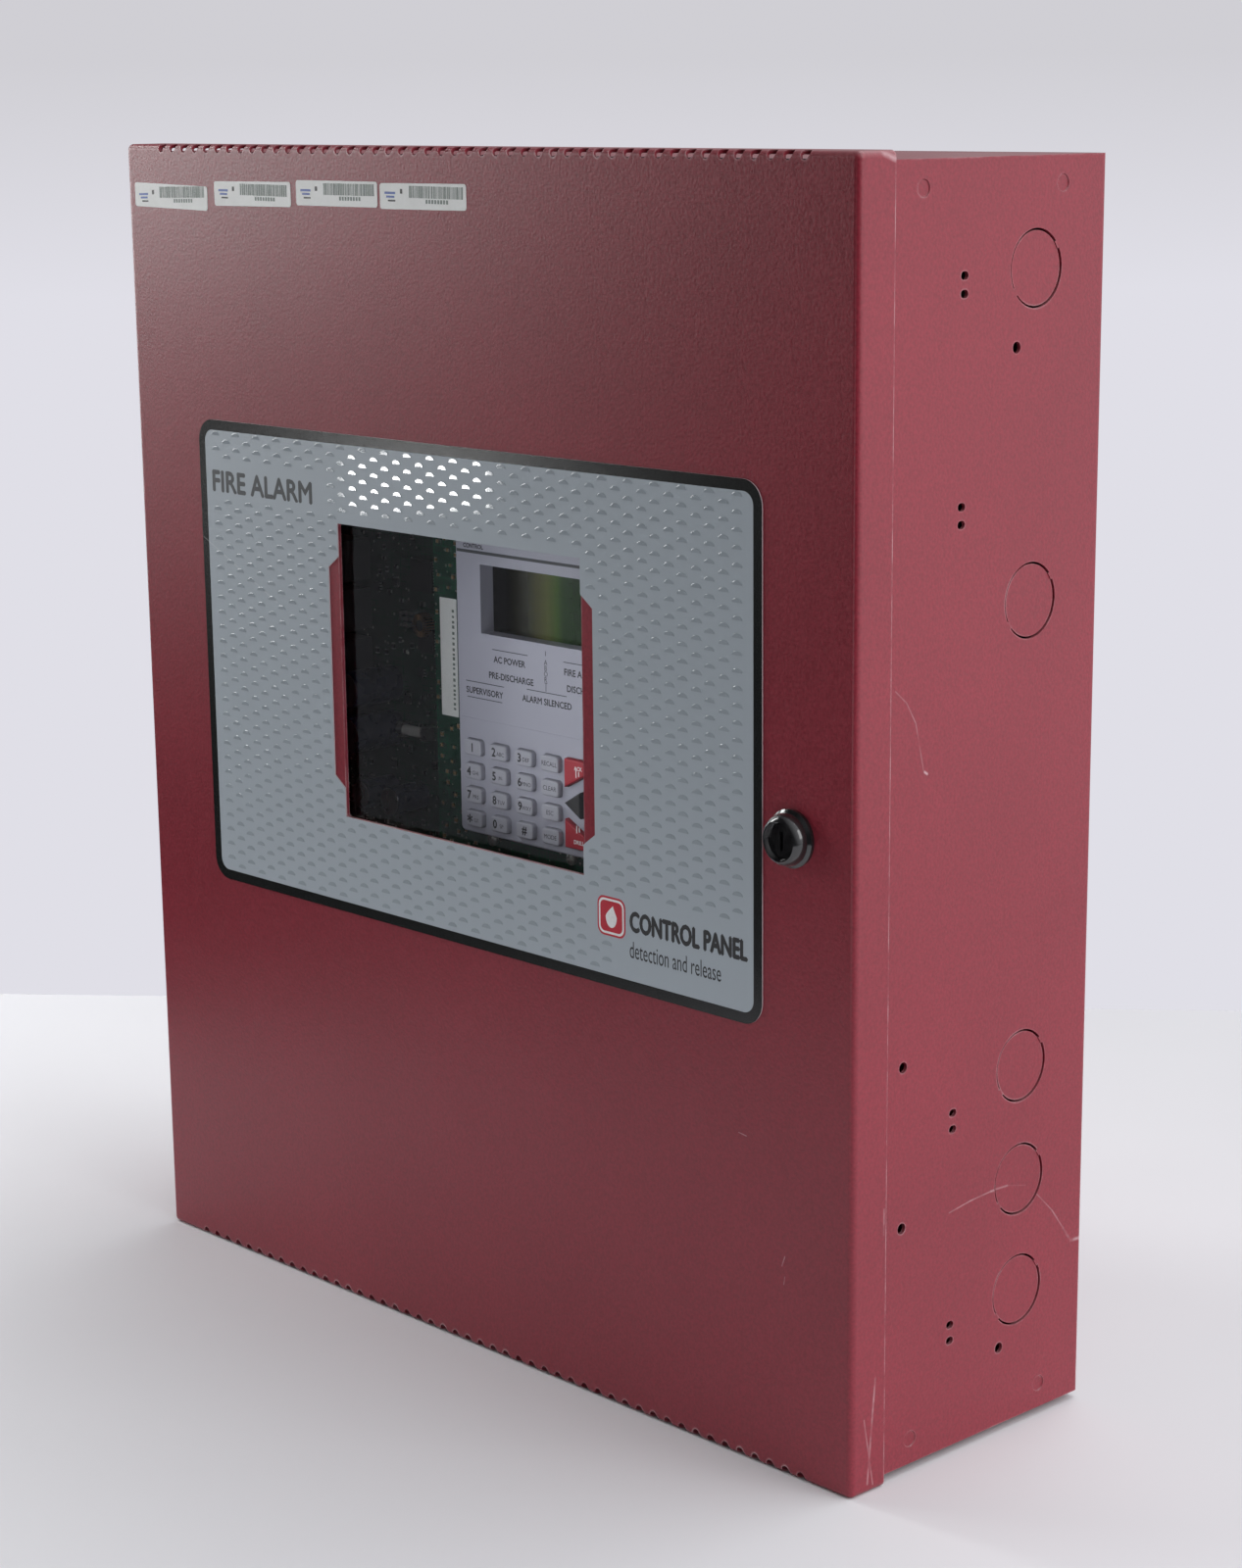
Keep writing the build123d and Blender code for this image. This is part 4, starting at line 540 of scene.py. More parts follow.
# middle and half size of each keep-out, from the label's middle: window, title, emblem and name
KEEP_OUTS = (
    (-1.2, 2.25, 80.0, 49.5), (-1.2, 2.25, 76.5, 64.5), (-123.5, 75.0, 39.0, 6.8),
    (87.7, -73.1, 9.8, 9.5), (130.5, -82.0, 38.5, 18.5),
)
inside_x = maths("ABSOLUTE", where.outputs["X"])
inside_z = maths("ABSOLUTE", where.outputs["Z"])
clear = 4 * MM
drop = maths("MAXIMUM",
             maths("GREATER_THAN", inside_x, label_half.x - BORDER_WIDE - clear),
             maths("GREATER_THAN", inside_z, label_half.z - BORDER_WIDE - clear / 2))
for keep_x, keep_z, half_x, half_z in KEEP_OUTS:
    far_x = maths("ABSOLUTE", maths("SUBTRACT", where.outputs["X"], keep_x * MM))
    far_z = maths("ABSOLUTE", maths("SUBTRACT", where.outputs["Z"], keep_z * MM))
    covered = maths("MULTIPLY", maths("LESS_THAN", far_x, half_x * MM),
                    maths("LESS_THAN", far_z, half_z * MM))
    drop = maths("MAXIMUM", drop, covered)
kept = node(pip_field, "GeometryNodeDeleteGeometry", {"Geometry": placed.outputs[0], "Selection": drop})
form = node(pip_field, "GeometryNodeObjectInfo", {"Object": given["Pip"]})
copies = node(pip_field, "GeometryNodeInstanceOnPoints", {"Points": kept.outputs[0],
                                                          "Instance": form.outputs["Geometry"]})
real = node(pip_field, "GeometryNodeRealizeInstances", {"Geometry": copies.outputs[0]})
finished = node(pip_field, "GeometryNodeSetMaterial",
                {"Geometry": real.outputs[0], "Material": given["Finish"]})
send(finished.outputs[0], out["Geometry"])


def socket_of(group, label):
    """A group input's identifier, as a modifier names it."""
    for item in group.interface.items_tree:
        if item.item_type == "SOCKET" and item.in_out == "INPUT" and item.name == label:
            return item.identifier
    raise KeyError(label)


def grow(name, start, group, values):
    """Runs a Geometry Nodes tree on an object and keeps the result as a plain mesh."""
    modifier = start.modifiers.new("grow", "NODES")
    modifier.node_group = group
    for label, value in values.items():
        modifier[socket_of(group, label)] = value
    bpy.context.view_layer.update()
    return plain_mesh(start, name)


pip_form = mesh_piece("pip_form", half_round)
seed = mesh_piece("pip_seed", lambda shape: shape.verts.new((0, 0, 0)))
label_pips = grow("label_pips", seed, pip_field, {
    "Pip": pip_form, "Columns": int(2 * label_half.x / PIP_ACROSS), "Rows": int(2 * label_half.z / PIP_ROW),
    "Finish": pip_gloss})
label_pips.data.transform(Matrix.Translation((label_middle.x, LABEL_FACE, label_middle.z)))
bpy.data.objects.remove(pip_form)
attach(label_pips, "door")


# Lettering is printed ink: text made into thin closed meshes on the face that it is printed on
def ink(name, colour):
    """Flat printing ink, slightly uneven."""
    material, tree, shader, place = new_material(name)
    patchy = noise(place, 900.0, 2.0)
    pale = tuple(min(1.0, part * 1.25 + 0.01) for part in colour[:3]) + (1,)
    feed(shader, {"Base Color": mix_colour(patchy, colour, pale),
                  "Roughness": spread(patchy, 0.0, 1.0, 0.40, 0.58)})
    return material


INK_RAISE = 0.00004


def lettering(name, words, middle, high, material, body, wide=None, heavy=0.0):
    """Words on a plane that faces the front: middle is their middle, high the capitals' height, and
    heavy what is added to the width of every stroke."""
    text = bpy.data.curves.new(name, "FONT")
    text.body = words
    text.align_x = "CENTER"
    text.align_y = "CENTER"
    text.extrude = 0.5
    text.resolution_u = 3
    holder = put(name, text)
    bpy.context.view_layer.update()
    graph = bpy.context.evaluated_depsgraph_get()
    mesh = bpy.data.meshes.new_from_object(holder.evaluated_get(graph), depsgraph=graph)
    bpy.data.objects.remove(holder)
    bpy.data.curves.remove(text)
    low = [min(vertex.co[axis] for vertex in mesh.vertices) for axis in range(3)]
    top = [max(vertex.co[axis] for vertex in mesh.vertices) for axis in range(3)]
    tall = high / (top[1] - low[1])
    broad = wide / (top[0] - low[0]) if wide else tall
    centre = Matrix.Translation([-(a + b) / 2 for a, b in zip(low, top)])
    size = Matrix.Diagonal((broad, tall, INK_RAISE, 1))
    upright = Matrix.Rotation(math.radians(90), 4, "X")
    mesh.transform(Matrix.Translation(middle) @ upright @ size @ centre)
    if heavy:
        shape = bmesh.new()
        shape.from_mesh(mesh)
        strokes = shape.verts[:] + shape.edges[:] + shape.faces[:]
        for layer, (right, up) in enumerate(((-1, 0), (1, 0), (0, -1), (0, 1)), 1):
            copied = bmesh.ops.duplicate(shape, geom=strokes)["geom"]
            points = [part for part in copied if isinstance(part, bmesh.types.BMVert)]
            bmesh.ops.translate(shape, verts=points,
                                vec=(right * heavy / 2, -layer * 1e-6, up * heavy / 2))
        shape.to_mesh(mesh)
        shape.free()
    mesh.name = name
    mesh.materials.clear()
    mesh.materials.append(material)
    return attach(put(name, mesh), body)


charcoal_ink = ink("charcoal_ink", (0.045, 0.050, 0.055, 1))
black_ink = ink("black_ink", (0.016, 0.016, 0.018, 1))
red_ink = ink("red_ink", (0.46, 0.012, 0.030, 1))
white_ink = ink("white_ink", (0.78, 0.78, 0.78, 1))
lettering("label_title", "FIRE ALARM", (-0.1252, LABEL_FACE, 0.1044), 0.0086, charcoal_ink, "door",
          wide=0.0682, heavy=0.0008)
lettering("label_name", "CONTROL PANEL", (0.1294, LABEL_FACE, -0.0434), 0.0076, black_ink, "door",
          wide=0.0624, heavy=0.0009)
lettering("label_line", "detection and release", (0.1224, LABEL_FACE, -0.0546), 0.0066, black_ink, "door",
          wide=0.0493)


def rounded_slab(shape, low, high, corner=0.0, steps=4):
    """A block that faces the front, with rounded corners in the XZ plane."""
    points = []
    for sign_x, sign_z, start in ((1, 1, 0), (-1, 1, 90), (-1, -1, 180), (1, -1, 270)):
        x = (high[0] if sign_x > 0 else low[0]) - sign_x * corner
        z = (high[2] if sign_z > 0 else low[2]) - sign_z * corner
        turns = [start + 90 * i / steps for i in range(steps + 1)] if corner else [start]
        points += [(x + corner * math.cos(math.radians(a)),
                    z + corner * math.sin(math.radians(a))) for a in turns]
    front = [shape.verts.new((x, low[1], z)) for x, z in points]
    back = [shape.verts.new((x, high[1], z)) for x, z in points]
    shape.faces.new(front)
    shape.faces.new(back[::-1])
    for i in range(len(points)):
        j = (i + 1) % len(points)
        shape.faces.new((front[i], back[i], back[j], front[j]))


def slabs(name, spans, material, body, corner=0.0):
    """One mesh of rounded blocks, each given by its low and high corners."""
    def build(shape):
        for low, high in spans:
            rounded_slab(shape, low, high, corner)
    return mesh_piece(name, build, material, body)


# The emblem: a red rounded square with a plain white flame
EMBLEM_X, EMBLEM_Z, EMBLEM_HALF = 0.0877, -0.0436, 0.0070
for layer, (name, half, material, corner) in enumerate((
        ("label_emblem_ring", EMBLEM_HALF + 0.0008, red_ink, 0.0034),
        ("label_emblem_field", EMBLEM_HALF, white_ink, 0.0028),
        ("label_emblem_square", EMBLEM_HALF - 0.0009, red_ink, 0.0022))):
    slabs(name, [((EMBLEM_X - half, LABEL_FACE - (layer + 1) * INK_RAISE, EMBLEM_Z - half),
                  (EMBLEM_X + half, LABEL_FACE - layer * INK_RAISE, EMBLEM_Z + half))],
          material, "door", corner=corner)


def flame(shape):
    """A flame's outline: a teardrop that leans, with a rounded foot."""
    steps = 28
    points = []
    for i in range(steps):
        turn = 2 * math.pi * i / steps
        lift = math.cos(turn)
        wide_here = 0.0031 * math.sin(turn) * (1 - 0.85 * max(lift, 0) ** 1.2)
        lean = 0.0010 * max(lift, 0) ** 2
        points.append((EMBLEM_X + wide_here + lean, EMBLEM_Z + 0.0044 * lift))
    front = [shape.verts.new((x, LABEL_FACE - 4 * INK_RAISE, z)) for x, z in points]
    back = [shape.verts.new((x, LABEL_FACE - 3 * INK_RAISE, z)) for x, z in points]
    shape.faces.new(front)
    shape.faces.new(back[::-1])
    for i in range(steps):
        j = (i + 1) % steps
        shape.faces.new((front[i], back[i], back[j], front[j]))


mesh_piece("label_emblem_flame", flame, white_ink, "door")


# ---- Window -----------------------------------------------------------------------------------------
# A clear polycarbonate pane, 2 mm thick, a little hazed by handling. A ring of black foam tape,
# sticky on both sides, holds it behind the opening in the door.
window_clear, tree, shader, place = new_material("window_clear")
haze = noise(place, 30.0, 4.0)
feed(shader, {"Roughness": spread(haze, 0.45, 0.75, 0.0, 0.02), "Base Color": (0.93, 0.95, 0.95, 1),
              "Transmission Weight": 1.0, "IOR": 1.2})
shadow = node(tree, "ShaderNodeLightPath").outputs["Is Shadow Ray"]
send(maths("SUBTRACT", 1.0, maths("MULTIPLY", shadow, 0.9)), shader.inputs["Alpha"])
finish_nodes(window_clear, "window_pane")

foam, tree, shader, place = new_material("foam_tape")
cells = node(tree, "ShaderNodeTexVoronoi", {"Vector": place, "Scale": 2600.0})
feed(shader, {"Base Color": mix_colour(cells.outputs["Distance"], (0.012, 0.012, 0.013, 1),
                                       (0.05, 0.05, 0.05, 1)),
              "Roughness": 0.9})
relief(shader, cells.outputs["Distance"], 0.5, 0.0001)
finish_nodes(foam, "window_tape")


# ---- Asset tags -------------------------------------------------------------------------------------
# Four coated paper labels stuck side by side on the door's top left. Each has a block of plain bars,
# a row of short marks below them, and a small blue mark with a dark dot at its left.
tag_paper, tree, shader, place = new_material("tag_paper")
fibre = noise(place, 700.0, 5.0)
stain = noise(place, 70.0, 3.0)
clean = mix_colour(fibre, (0.88, 0.90, 0.88, 1), (0.97, 0.98, 0.97, 1))
grubby = spread(stain, 0.5, 0.8, 0.0, 0.22)
feed(shader, {"Base Color": mix_colour(grubby, clean, (0.55, 0.56, 0.52, 1)),
              "Roughness": 0.5})
finish_nodes(tag_paper, "asset_tags")

bar_ink = ink("bar_ink", (0.16, 0.20, 0.18, 1))
blue_ink = ink("blue_ink", (0.10, 0.16, 0.42, 1))
TAG_FACE = corners("asset_tags")[0].y
TAG_LAYOUT = ((31.6, 21.5, -1.2), (88.7, 19.6, 0.4), (144.4, 18.6, 0.0), (198.1, 18.9, 0.3))
draw = random.Random(7)
for number, (inward, down, tilt) in enumerate(TAG_LAYOUT, 1):
    origin = Vector((door_low.x + inward * MM, TAG_FACE, door_high.z - down * MM))
    spin = Matrix.Translation(origin) @ Matrix.Rotation(math.radians(tilt), 4,
                                                        "Y") @ Matrix.Translation(-origin)
    bars, marks, blues = [], [], []
    x = -8.0
    while x < 23.5:
        thick = draw.choice((0.25, 0.25, 0.5, 0.75))
        bars.append((x, -0.6, thick, 4.6))
        x += thick + draw.choice((0.25, 0.3, 0.5))
    x = 2.0
    for _ in range(8):
        marks.append((x, -2.6, 1.1, 1.5))
        x += 1.75
    blues += [(-23.0, 0.6, 6.5, 0.9), (-22.0, -0.8, 5.0, 0.8)]
    dots = [(-13.5, 0.9, 1.4, 1.8), (-21.0, -2.2, 4.5, 0.6)]
    for kind, shapes, material in (("bars", bars, bar_ink), ("marks", marks, bar_ink),
                                   ("blue", blues, blue_ink),
                                   ("dot", dots, black_ink)):
        spans = [((origin.x + x * MM, TAG_FACE - INK_RAISE, origin.z + z * MM),
                  (origin.x + (x + wide) * MM, TAG_FACE, origin.z + (z + high) * MM))
                 for x, z, wide, high in shapes]

        def build(shape, spans=spans):
            for low, high in spans:
                rounded_slab(shape, low, high)
        made = mesh_piece(f"tag_{number}_{kind}", build, material)
        made.data.transform(spin)
        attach(made, "door")


# ---- Lock -------------------------------------------------------------------------------------------
# A quarter-turn cam lock with a die-cast head in gloss black enamel, polished by handling at its
# rim. It sits in a hole in the door, and its plug turns with the cam behind.
lock_black, tree, shader, place = new_material("lock_black")
wipe = noise(place, 260.0, 5.0)
feed(shader, {"Base Color": mix_colour(wipe, (0.008, 0.008, 0.009, 1), (0.022, 0.021, 0.022, 1)),
              "Roughness": spread(wipe, 0.3, 0.7, 0.10, 0.24), "Coat Weight": 1.0, "Coat Roughness": 0.06})
finish_nodes(lock_black, "lock_body", "lock_plug")


# ---- Display unit -----------------------------------------------------------------------------------
# A moulded bezel with a printed face. A thin rule and plain legends are printed on it, and the
# liquid crystal glass lies at the bottom of a well.
def moulded(name, colour, roughness, grain=1400.0, bumpiness=0.2):
    """Moulded plastic or rubber with a fine spark-eroded grain."""
    material, tree, shader, place = new_material(name)
    pores = noise(place, grain, 3.0)
    cloud = noise(place, 45.0, 3.0)
    dark = tuple(part * 0.86 for part in colour[:3]) + (1,)
    shade = maths("ADD", maths("MULTIPLY", pores, 0.5),
                  maths("MULTIPLY", cloud, 0.5))
    feed(shader, {"Base Color": mix_colour(shade, dark, colour),
                  "Roughness": spread(cloud, 0.3, 0.7, roughness - 0.05, roughness + 0.07)})
    relief(shader, pores, bumpiness, 0.00004)
    return material


housing_grey = moulded("housing_grey", (0.46, 0.46, 0.54, 1), 0.42)
finish_nodes(housing_grey, "display_housing")
face_low, face_high = corners("display_housing")
FACE = face_low.y

RULES = (
    (-50.0, 80.0, 121.0, 1.3), (-28.7, 41.0, 22.0, 0.35), (-45.7, 26.0, 24.0, 0.35), (-7.5, 27.0, 24.0, 0.35),
    (-45.0, 19.3, 22.0, 0.35), (15.0, 41.0, 21.0, 0.35), (4.0, 42.3, 0.35, 2.0), (4.0, 27.6, 0.35, 2.0),
    (42.0, 41.0, 22.0, 0.35), (42.0, 26.0, 22.0, 0.35),
)
slabs("display_rules", [((x * MM, FACE - INK_RAISE, z * MM), ((x + wide) * MM, FACE, (z + high) * MM))
                        for x, z, wide, high in RULES], charcoal_ink, "cabinet")
# words, middle across, middle up, capitals' height
LEGENDS = (
    ("display_title", "CONTROL", -39.5, 83.0, 1.8), ("legend_power", "AC POWER", -18.1, 37.2, 2.65),
    ("legend_predischarge", "PRE-DISCHARGE", -17.2, 30.3, 2.65), ("legend_supervisory", "SUPERVISORY", -34.0,
                                                                  22.5, 2.65),
    ("legend_silenced", "ALARM SILENCED", 4.5, 23.3, 2.65), ("legend_fire", "FIRE ALARM", 25.4, 37.2, 2.65),
    ("legend_discharge", "DISCHARGE", 27.0, 30.6, 2.65), ("legend_trouble", "TROUBLE", 53.0, 37.2, 2.65),
    ("legend_disabled", "DISABLED", 53.0, 22.5, 2.65),
)
for name, words, x, z, high in LEGENDS:
    lettering(name, words, (x * MM, FACE, z * MM), high * MM, black_ink, "cabinet", heavy=0.00018)
for row, letter in enumerate("ABORT"):
    lettering(f"legend_abort_{row + 1}", letter, (4.2 * MM, FACE, (39.6 - 2.35 * row) * MM), 2.1 * MM,
              black_ink,
              "cabinet")

# The crease where the printed sheet stops and the keypad's membrane begins
slabs("keypad_edge", [((face_low.x + 0.0015, FACE - 0.0002, 0.0098), (face_high.x - 0.0015, FACE, 0.0106))],
      housing_grey, "cabinet")

lcd_low, lcd_high = corners("lcd_glass")
# The liquid crystal's colour is painted: a ramp from black at the left, through yellow-green in the middle,
# to green at the right is a painted reflection that changes with the viewing angle. The same colour is given
# as emission, so the glass glows.
lcd_green, tree, shader, place = new_material("lcd_green")
across = node(tree, "ShaderNodeSeparateXYZ", {0: place}).outputs["X"]
lit = spread(across, lcd_low.x, lcd_high.x)
painted_sheen_ramp = node(tree, "ShaderNodeValToRGB", {0: lit})
ramp = painted_sheen_ramp.color_ramp
ramp.elements[0].position, ramp.elements[0].color = 0.12, (0.001, 0.001, 0.001, 1)
ramp.elements[1].position, ramp.elements[1].color = 1.0, (0.002, 0.014, 0.001, 1)
for position, colour in ((0.27, (0.010, 0.011, 0.003, 1)), (0.36, (0.040, 0.042, 0.0085, 1)),
                         (0.42, (0.055, 0.062, 0.011, 1)), (0.49, (0.028, 0.060, 0.005, 1)),
                         (0.54, (0.007, 0.028, 0.002, 1)), (0.62, (0.004, 0.020, 0.001, 1))):
    stop = ramp.elements.new(position)
    stop.color = colour
cells = node(tree, "ShaderNodeTexBrick", {
    "Vector": node(tree, "ShaderNodeMapping",
                   {"Vector": place, "Rotation": (math.radians(90), 0, 0)}).outputs[0],
    "Scale": 1.0, "Mortar Size": 0.0002, "Brick Width": 0.0036, "Row Height": 0.0060,
    "Color1": (1, 1, 1, 1), "Color2": (0.96, 0.96, 0.96, 1), "Mortar": (0.86, 0.86, 0.86, 1)}, offset=0.0)
glow = node(tree, "ShaderNodeMix", {0: 1.0, 6: painted_sheen_ramp.outputs[0], 7: cells.outputs["Color"]}, data_type="RGBA",
            blend_type="MULTIPLY").outputs[2]
feed(shader, {"Base Color": glow, "Emission Color": glow, "Emission Strength": 0.30,
              "Specular IOR Level": 0.2, "Roughness": 0.12})
finish_nodes(lcd_green, "lcd_glass")
finish_nodes(moulded("lcd_frame", (0.02, 0.02, 0.021, 1), 0.4), "lcd_module")


# ---- Keys -------------------------------------------------------------------------------------------
# Moulded silicone keys that stand through the bezel, with printed legends that move with them.
# Two function keys are red with white print, and the four arrow keys are black.
key_grey = moulded("key_grey", (0.47, 0.47, 0.53, 1), 0.5)
key_red = moulded("key_red", (0.48, 0.012, 0.030, 1), 0.45)
key_black = moulded("key_black", (0.012, 0.012, 0.013, 1), 0.45)
RED_KEYS = ("key_acknowledge", "key_drill")
ARROW_KEYS = ("key_left", "key_right", "key_up", "key_down")
for name in [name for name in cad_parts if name.startswith("key_")]:
    finish_nodes(key_red if name in RED_KEYS else key_black if name in ARROW_KEYS else key_grey, name)

DIGITS = {"key_1": ("1", ""), "key_2": ("2", "ABC"), "key_3": ("3", "DEF"), "key_4": ("4", "GHI"),
          "key_5": ("5", "JKL"), "key_6": ("6", "MNO"), "key_7": ("7", "PRS"), "key_8": ("8", "TUV"),
          "key_9": ("9", "WXY"), "key_star": ("*", "QZ"), "key_0": ("0", "SP"), "key_hash": ("#", "")}
WORDS = {"key_recall": "RECALL", "key_clear": "CLEAR", "key_escape": "ESC", "key_mode": "MODE",
         "key_enter": "ENTER", "key_silence": "SILENCE", "key_reset": "RESET"}
for name, (digit, letters) in DIGITS.items():
    low, high = corners(name)
    middle = (low + high) / 2
    lettering(f"{name}_digit", digit, (middle.x - (2.4 * MM if letters else 0), low.y, middle.z), 3.5 * MM,
              black_ink, name, heavy=0.00030)
    if letters:
        lettering(f"{name}_letters", letters, (middle.x + 1.7 * MM, low.y, middle.z - 0.5 * MM), 1.7 * MM,
                  black_ink, name)
for name, words in WORDS.items():
    low, high = corners(name)
    middle = (low + high) / 2
    lettering(f"{name}_word", words, (middle.x, low.y, middle.z), 1.9 * MM, black_ink, name)
for name, words, turn in (("key_acknowledge", "ACK", -1), ("key_drill", "DRILL", 1)):
    low, high = corners(name)
    middle = (low + high) / 2
    lettering(f"{name}_word", words, (middle.x, low.y, middle.z - turn * 2.8 * MM), 1.6 * MM, white_ink, name,
              heavy=0.0001)
    bar = Vector((middle.x - 1.5 * MM, low.y - INK_RAISE, middle.z + turn * 1.0 * MM))
    slabs(f"{name}_mark", [(bar, bar + Vector((0.5 * MM, INK_RAISE, 3.2 * MM))),
                           (bar + Vector((1.6 * MM, 0, 0.6 * MM)),
                            bar + Vector((2.1 * MM, INK_RAISE, 2.6 * MM)))],
          white_ink, name)


# ---- Circuit boards ---------------------------------------------------------------------------------
# Fibreglass boards under a dark green solder mask. Copper tracks show through it as lighter lines, and
# small surface-mounted parts with bright soldered ends stand in loose rows.
def circuit_board(name, mask, track):
    material, tree, shader, place = new_material(name)
    laid = node(tree, "ShaderNodeMapping", {"Vector": place, "Rotation": (math.radians(90), 0, 0)}).outputs[0]
    tracks = None
    for size, turn in ((0.0034, 0.0), (0.0058, 90.0)):
        turned = node(tree, "ShaderNodeMapping", {"Vector": laid, "Rotation": (0, 0, math.radians(turn))})
        brick = node(tree, "ShaderNodeTexBrick", {
            "Vector": turned.outputs[0], "Scale": 1.0, "Mortar Size": 0.00018, "Brick Width": size * 4,
            "Row Height": size, "Color1": (0, 0, 0, 1), "Color2": (0, 0, 0, 1), "Mortar": (1, 1, 1, 1)})
        lines = brick.outputs["Fac"]
        tracks = lines if tracks is None else maths("MAXIMUM", tracks, lines)
    area = noise(place, 70.0, 1.0)
    routed = maths("MULTIPLY", tracks, maths("GREATER_THAN", area, 0.47))
    pads = node(tree, "ShaderNodeTexVoronoi", {"Vector": place, "Scale": 230.0})
    pad = maths("LESS_THAN", pads.outputs["Distance"], 0.16)
    masked = mix_colour(maths("MULTIPLY", routed, 0.8), mask, track)
    feed(shader, {"Base Color": mix_colour(pad, masked, (0.42, 0.42, 0.38, 1))})
    send(maths("MULTIPLY", pad, 0.8), shader.inputs["Metallic"])
    feed(shader, {"Roughness": spread(routed, 0.0, 1.0, 0.34, 0.26)})
    height = maths("MAXIMUM", routed, pad)
    relief(shader, height, 0.4, 0.00005)
    return material


# The main board's mask and tracks are painted much darker than the display board's, as painted shade for the
# dim back of the cabinet. The display board's are painted lighter, as painted light where light through the
# window falls on it.
finish_nodes(circuit_board("main_board_mask_painted_shade", (0.004, 0.020, 0.012, 1), (0.020, 0.085, 0.045, 1)),
             "main_board")
finish_nodes(circuit_board("display_board_mask_painted_light", (0.006, 0.045, 0.026, 1), (0.035, 0.150, 0.085, 1)),
             "display_board")

solder = brushed_metal("solder", (0.72, 0.72, 0.70, 1), 0.25, (1.0, 1.0, 1.0))
chip_black = moulded("chip_black", (0.014, 0.014, 0.015, 1), 0.55, grain=2500.0)
ceramic_tan = moulded("ceramic_tan", (0.32, 0.22, 0.12, 1), 0.45)

# Copies of one small form on given spots: each spot has its own turn about Y and its own size
copy_field, given, out = new_group(
    "copy_field", "GeometryNodeTree",
    (("Geometry", GEOMETRY, None), ("Form", OBJECT, None), ("Size", NUMBER, 1.0), ("Spread", NUMBER, 0.0),
     ("Seed", WHOLE, 3), ("Main", MATERIAL, None), ("Trim", MATERIAL, None)),
    (("Geometry", GEOMETRY),))
turned = node(copy_field, "GeometryNodeInputNamedAttribute", {"Name": "turn"}, data_type="FLOAT")
angle = node(copy_field, "ShaderNodeCombineXYZ", {"Y": turned.outputs["Attribute"]})
spun = node(copy_field, "FunctionNodeEulerToRotation", {0: angle.outputs[0]})
vary = node(copy_field, "FunctionNodeRandomValue", {2: 0.0, 3: 1.0, "Seed": given["Seed"]}, data_type="FLOAT")
grown = maths("ADD", given["Size"], maths("MULTIPLY", vary.outputs[1], given["Spread"]))
form = node(copy_field, "GeometryNodeObjectInfo", {"Object": given["Form"]})
copies = node(copy_field, "GeometryNodeInstanceOnPoints", {
    "Points": given["Geometry"], "Instance": form.outputs["Geometry"], "Rotation": spun.outputs[0],
    "Scale": grown})
real = node(copy_field, "GeometryNodeRealizeInstances", {"Geometry": copies.outputs[0]})
trim = maths("GREATER_THAN", node(copy_field, "GeometryNodeInputMaterialIndex").outputs[0], 0.5)
trimmed = node(copy_field, "GeometryNodeSetMaterial", {"Geometry": real.outputs[0], "Selection": trim,
                                                       "Material": given["Trim"]})
bodies = node(copy_field, "GeometryNodeSetMaterial", {
    "Geometry": trimmed.outputs[0], "Selection": maths("SUBTRACT", 1.0, trim),
    "Material": given["Main"]})
send(bodies.outputs[0], out["Geometry"])


def copies_at(name, spots, form, body, size=1.0, vary=0.0):
    """A piece made of copies of form on spots of (x, y, z, turn), in the form's one or two materials."""
    start = mesh_piece(f"{name}_spots", lambda shape: [shape.verts.new(spot[:3]) for spot in spots])
    turns = start.data.attributes.new("turn", "FLOAT", "POINT")
    for index, spot in enumerate(spots):
        turns.data[index].value = spot[3]
    finishes = form.data.materials
    made = grow(name, start, copy_field, {"Form": form, "Size": size, "Spread": vary, "Main": finishes[0],
                                          "Trim": finishes[-1]})
    bpy.data.objects.remove(form)
    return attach(made, body)


def block_form(name, blocks):
    """A form of several plain blocks, each with its middle, its size and its material."""
    shape = bmesh.new()
    materials = []
    for middle, size, material in blocks:
        if material not in materials:
            materials.append(material)
        matrix = Matrix.Translation(middle) @ Matrix.Diagonal((*size, 1))
        made = bmesh.ops.create_cube(shape, size=1.0, matrix=matrix)
        for face in {face for vertex in made["verts"] for face in vertex.link_faces}:
            face.material_index = materials.index(material)
    return to_mesh(name, shape, *materials)


def islands(name):
    """The low and high corners of each separate solid of a CAD node."""
    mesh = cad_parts[name].data
    shape = bmesh.new()
    shape.from_mesh(mesh)
    bmesh.ops.remove_doubles(shape, verts=shape.verts, dist=1e-6)
    shape.verts.ensure_lookup_table()
    seen_verts, found = set(), []
    for vertex in shape.verts:
        if vertex in seen_verts:
            continue
        stack, group = [vertex], []
        seen_verts.add(vertex)
        while stack:
            at = stack.pop()
            group.append(at.co)
            for edge_here in at.link_edges:
                other = edge_here.other_vert(at)
                if other not in seen_verts:
                    seen_verts.add(other)
                    stack.append(other)
        found.append((Vector([min(co[i] for co in group) for i in range(3)]),
                      Vector([max(co[i] for co in group) for i in range(3)])))
    shape.free()
    return found


main_low, main_high = corners("main_board")
board_low, board_high = corners("display_board")
MAIN_FRONT, BOARD_FRONT = main_low.y, board_low.y
ON_MAIN = ("terminal_blocks", "relays", "capacitors", "ic_chips", "heat_sinks", "pan_head_screws",
           "ribbon_cable")
taken = [island for name in ON_MAIN for island in islands(name)]


def free(x, z, room):
    """Whether a spot on the main board is clear of the larger parts."""
    return not any(low.x - room < x < high.x + room and low.z - room < z < high.z + room for low,
                   high in taken)


def on_grid(low, high):
    """A seeded place between two limits, on the boards' grid."""
    return round(draw.uniform(low, high) / BOARD_GRID) * BOARD_GRID


def crowded(x, z, spots, gap):
    """Whether a spot is nearer than a gap to one of the others."""
    return any(abs(x - spot[0]) < gap and abs(z - spot[2]) < gap for spot in spots)


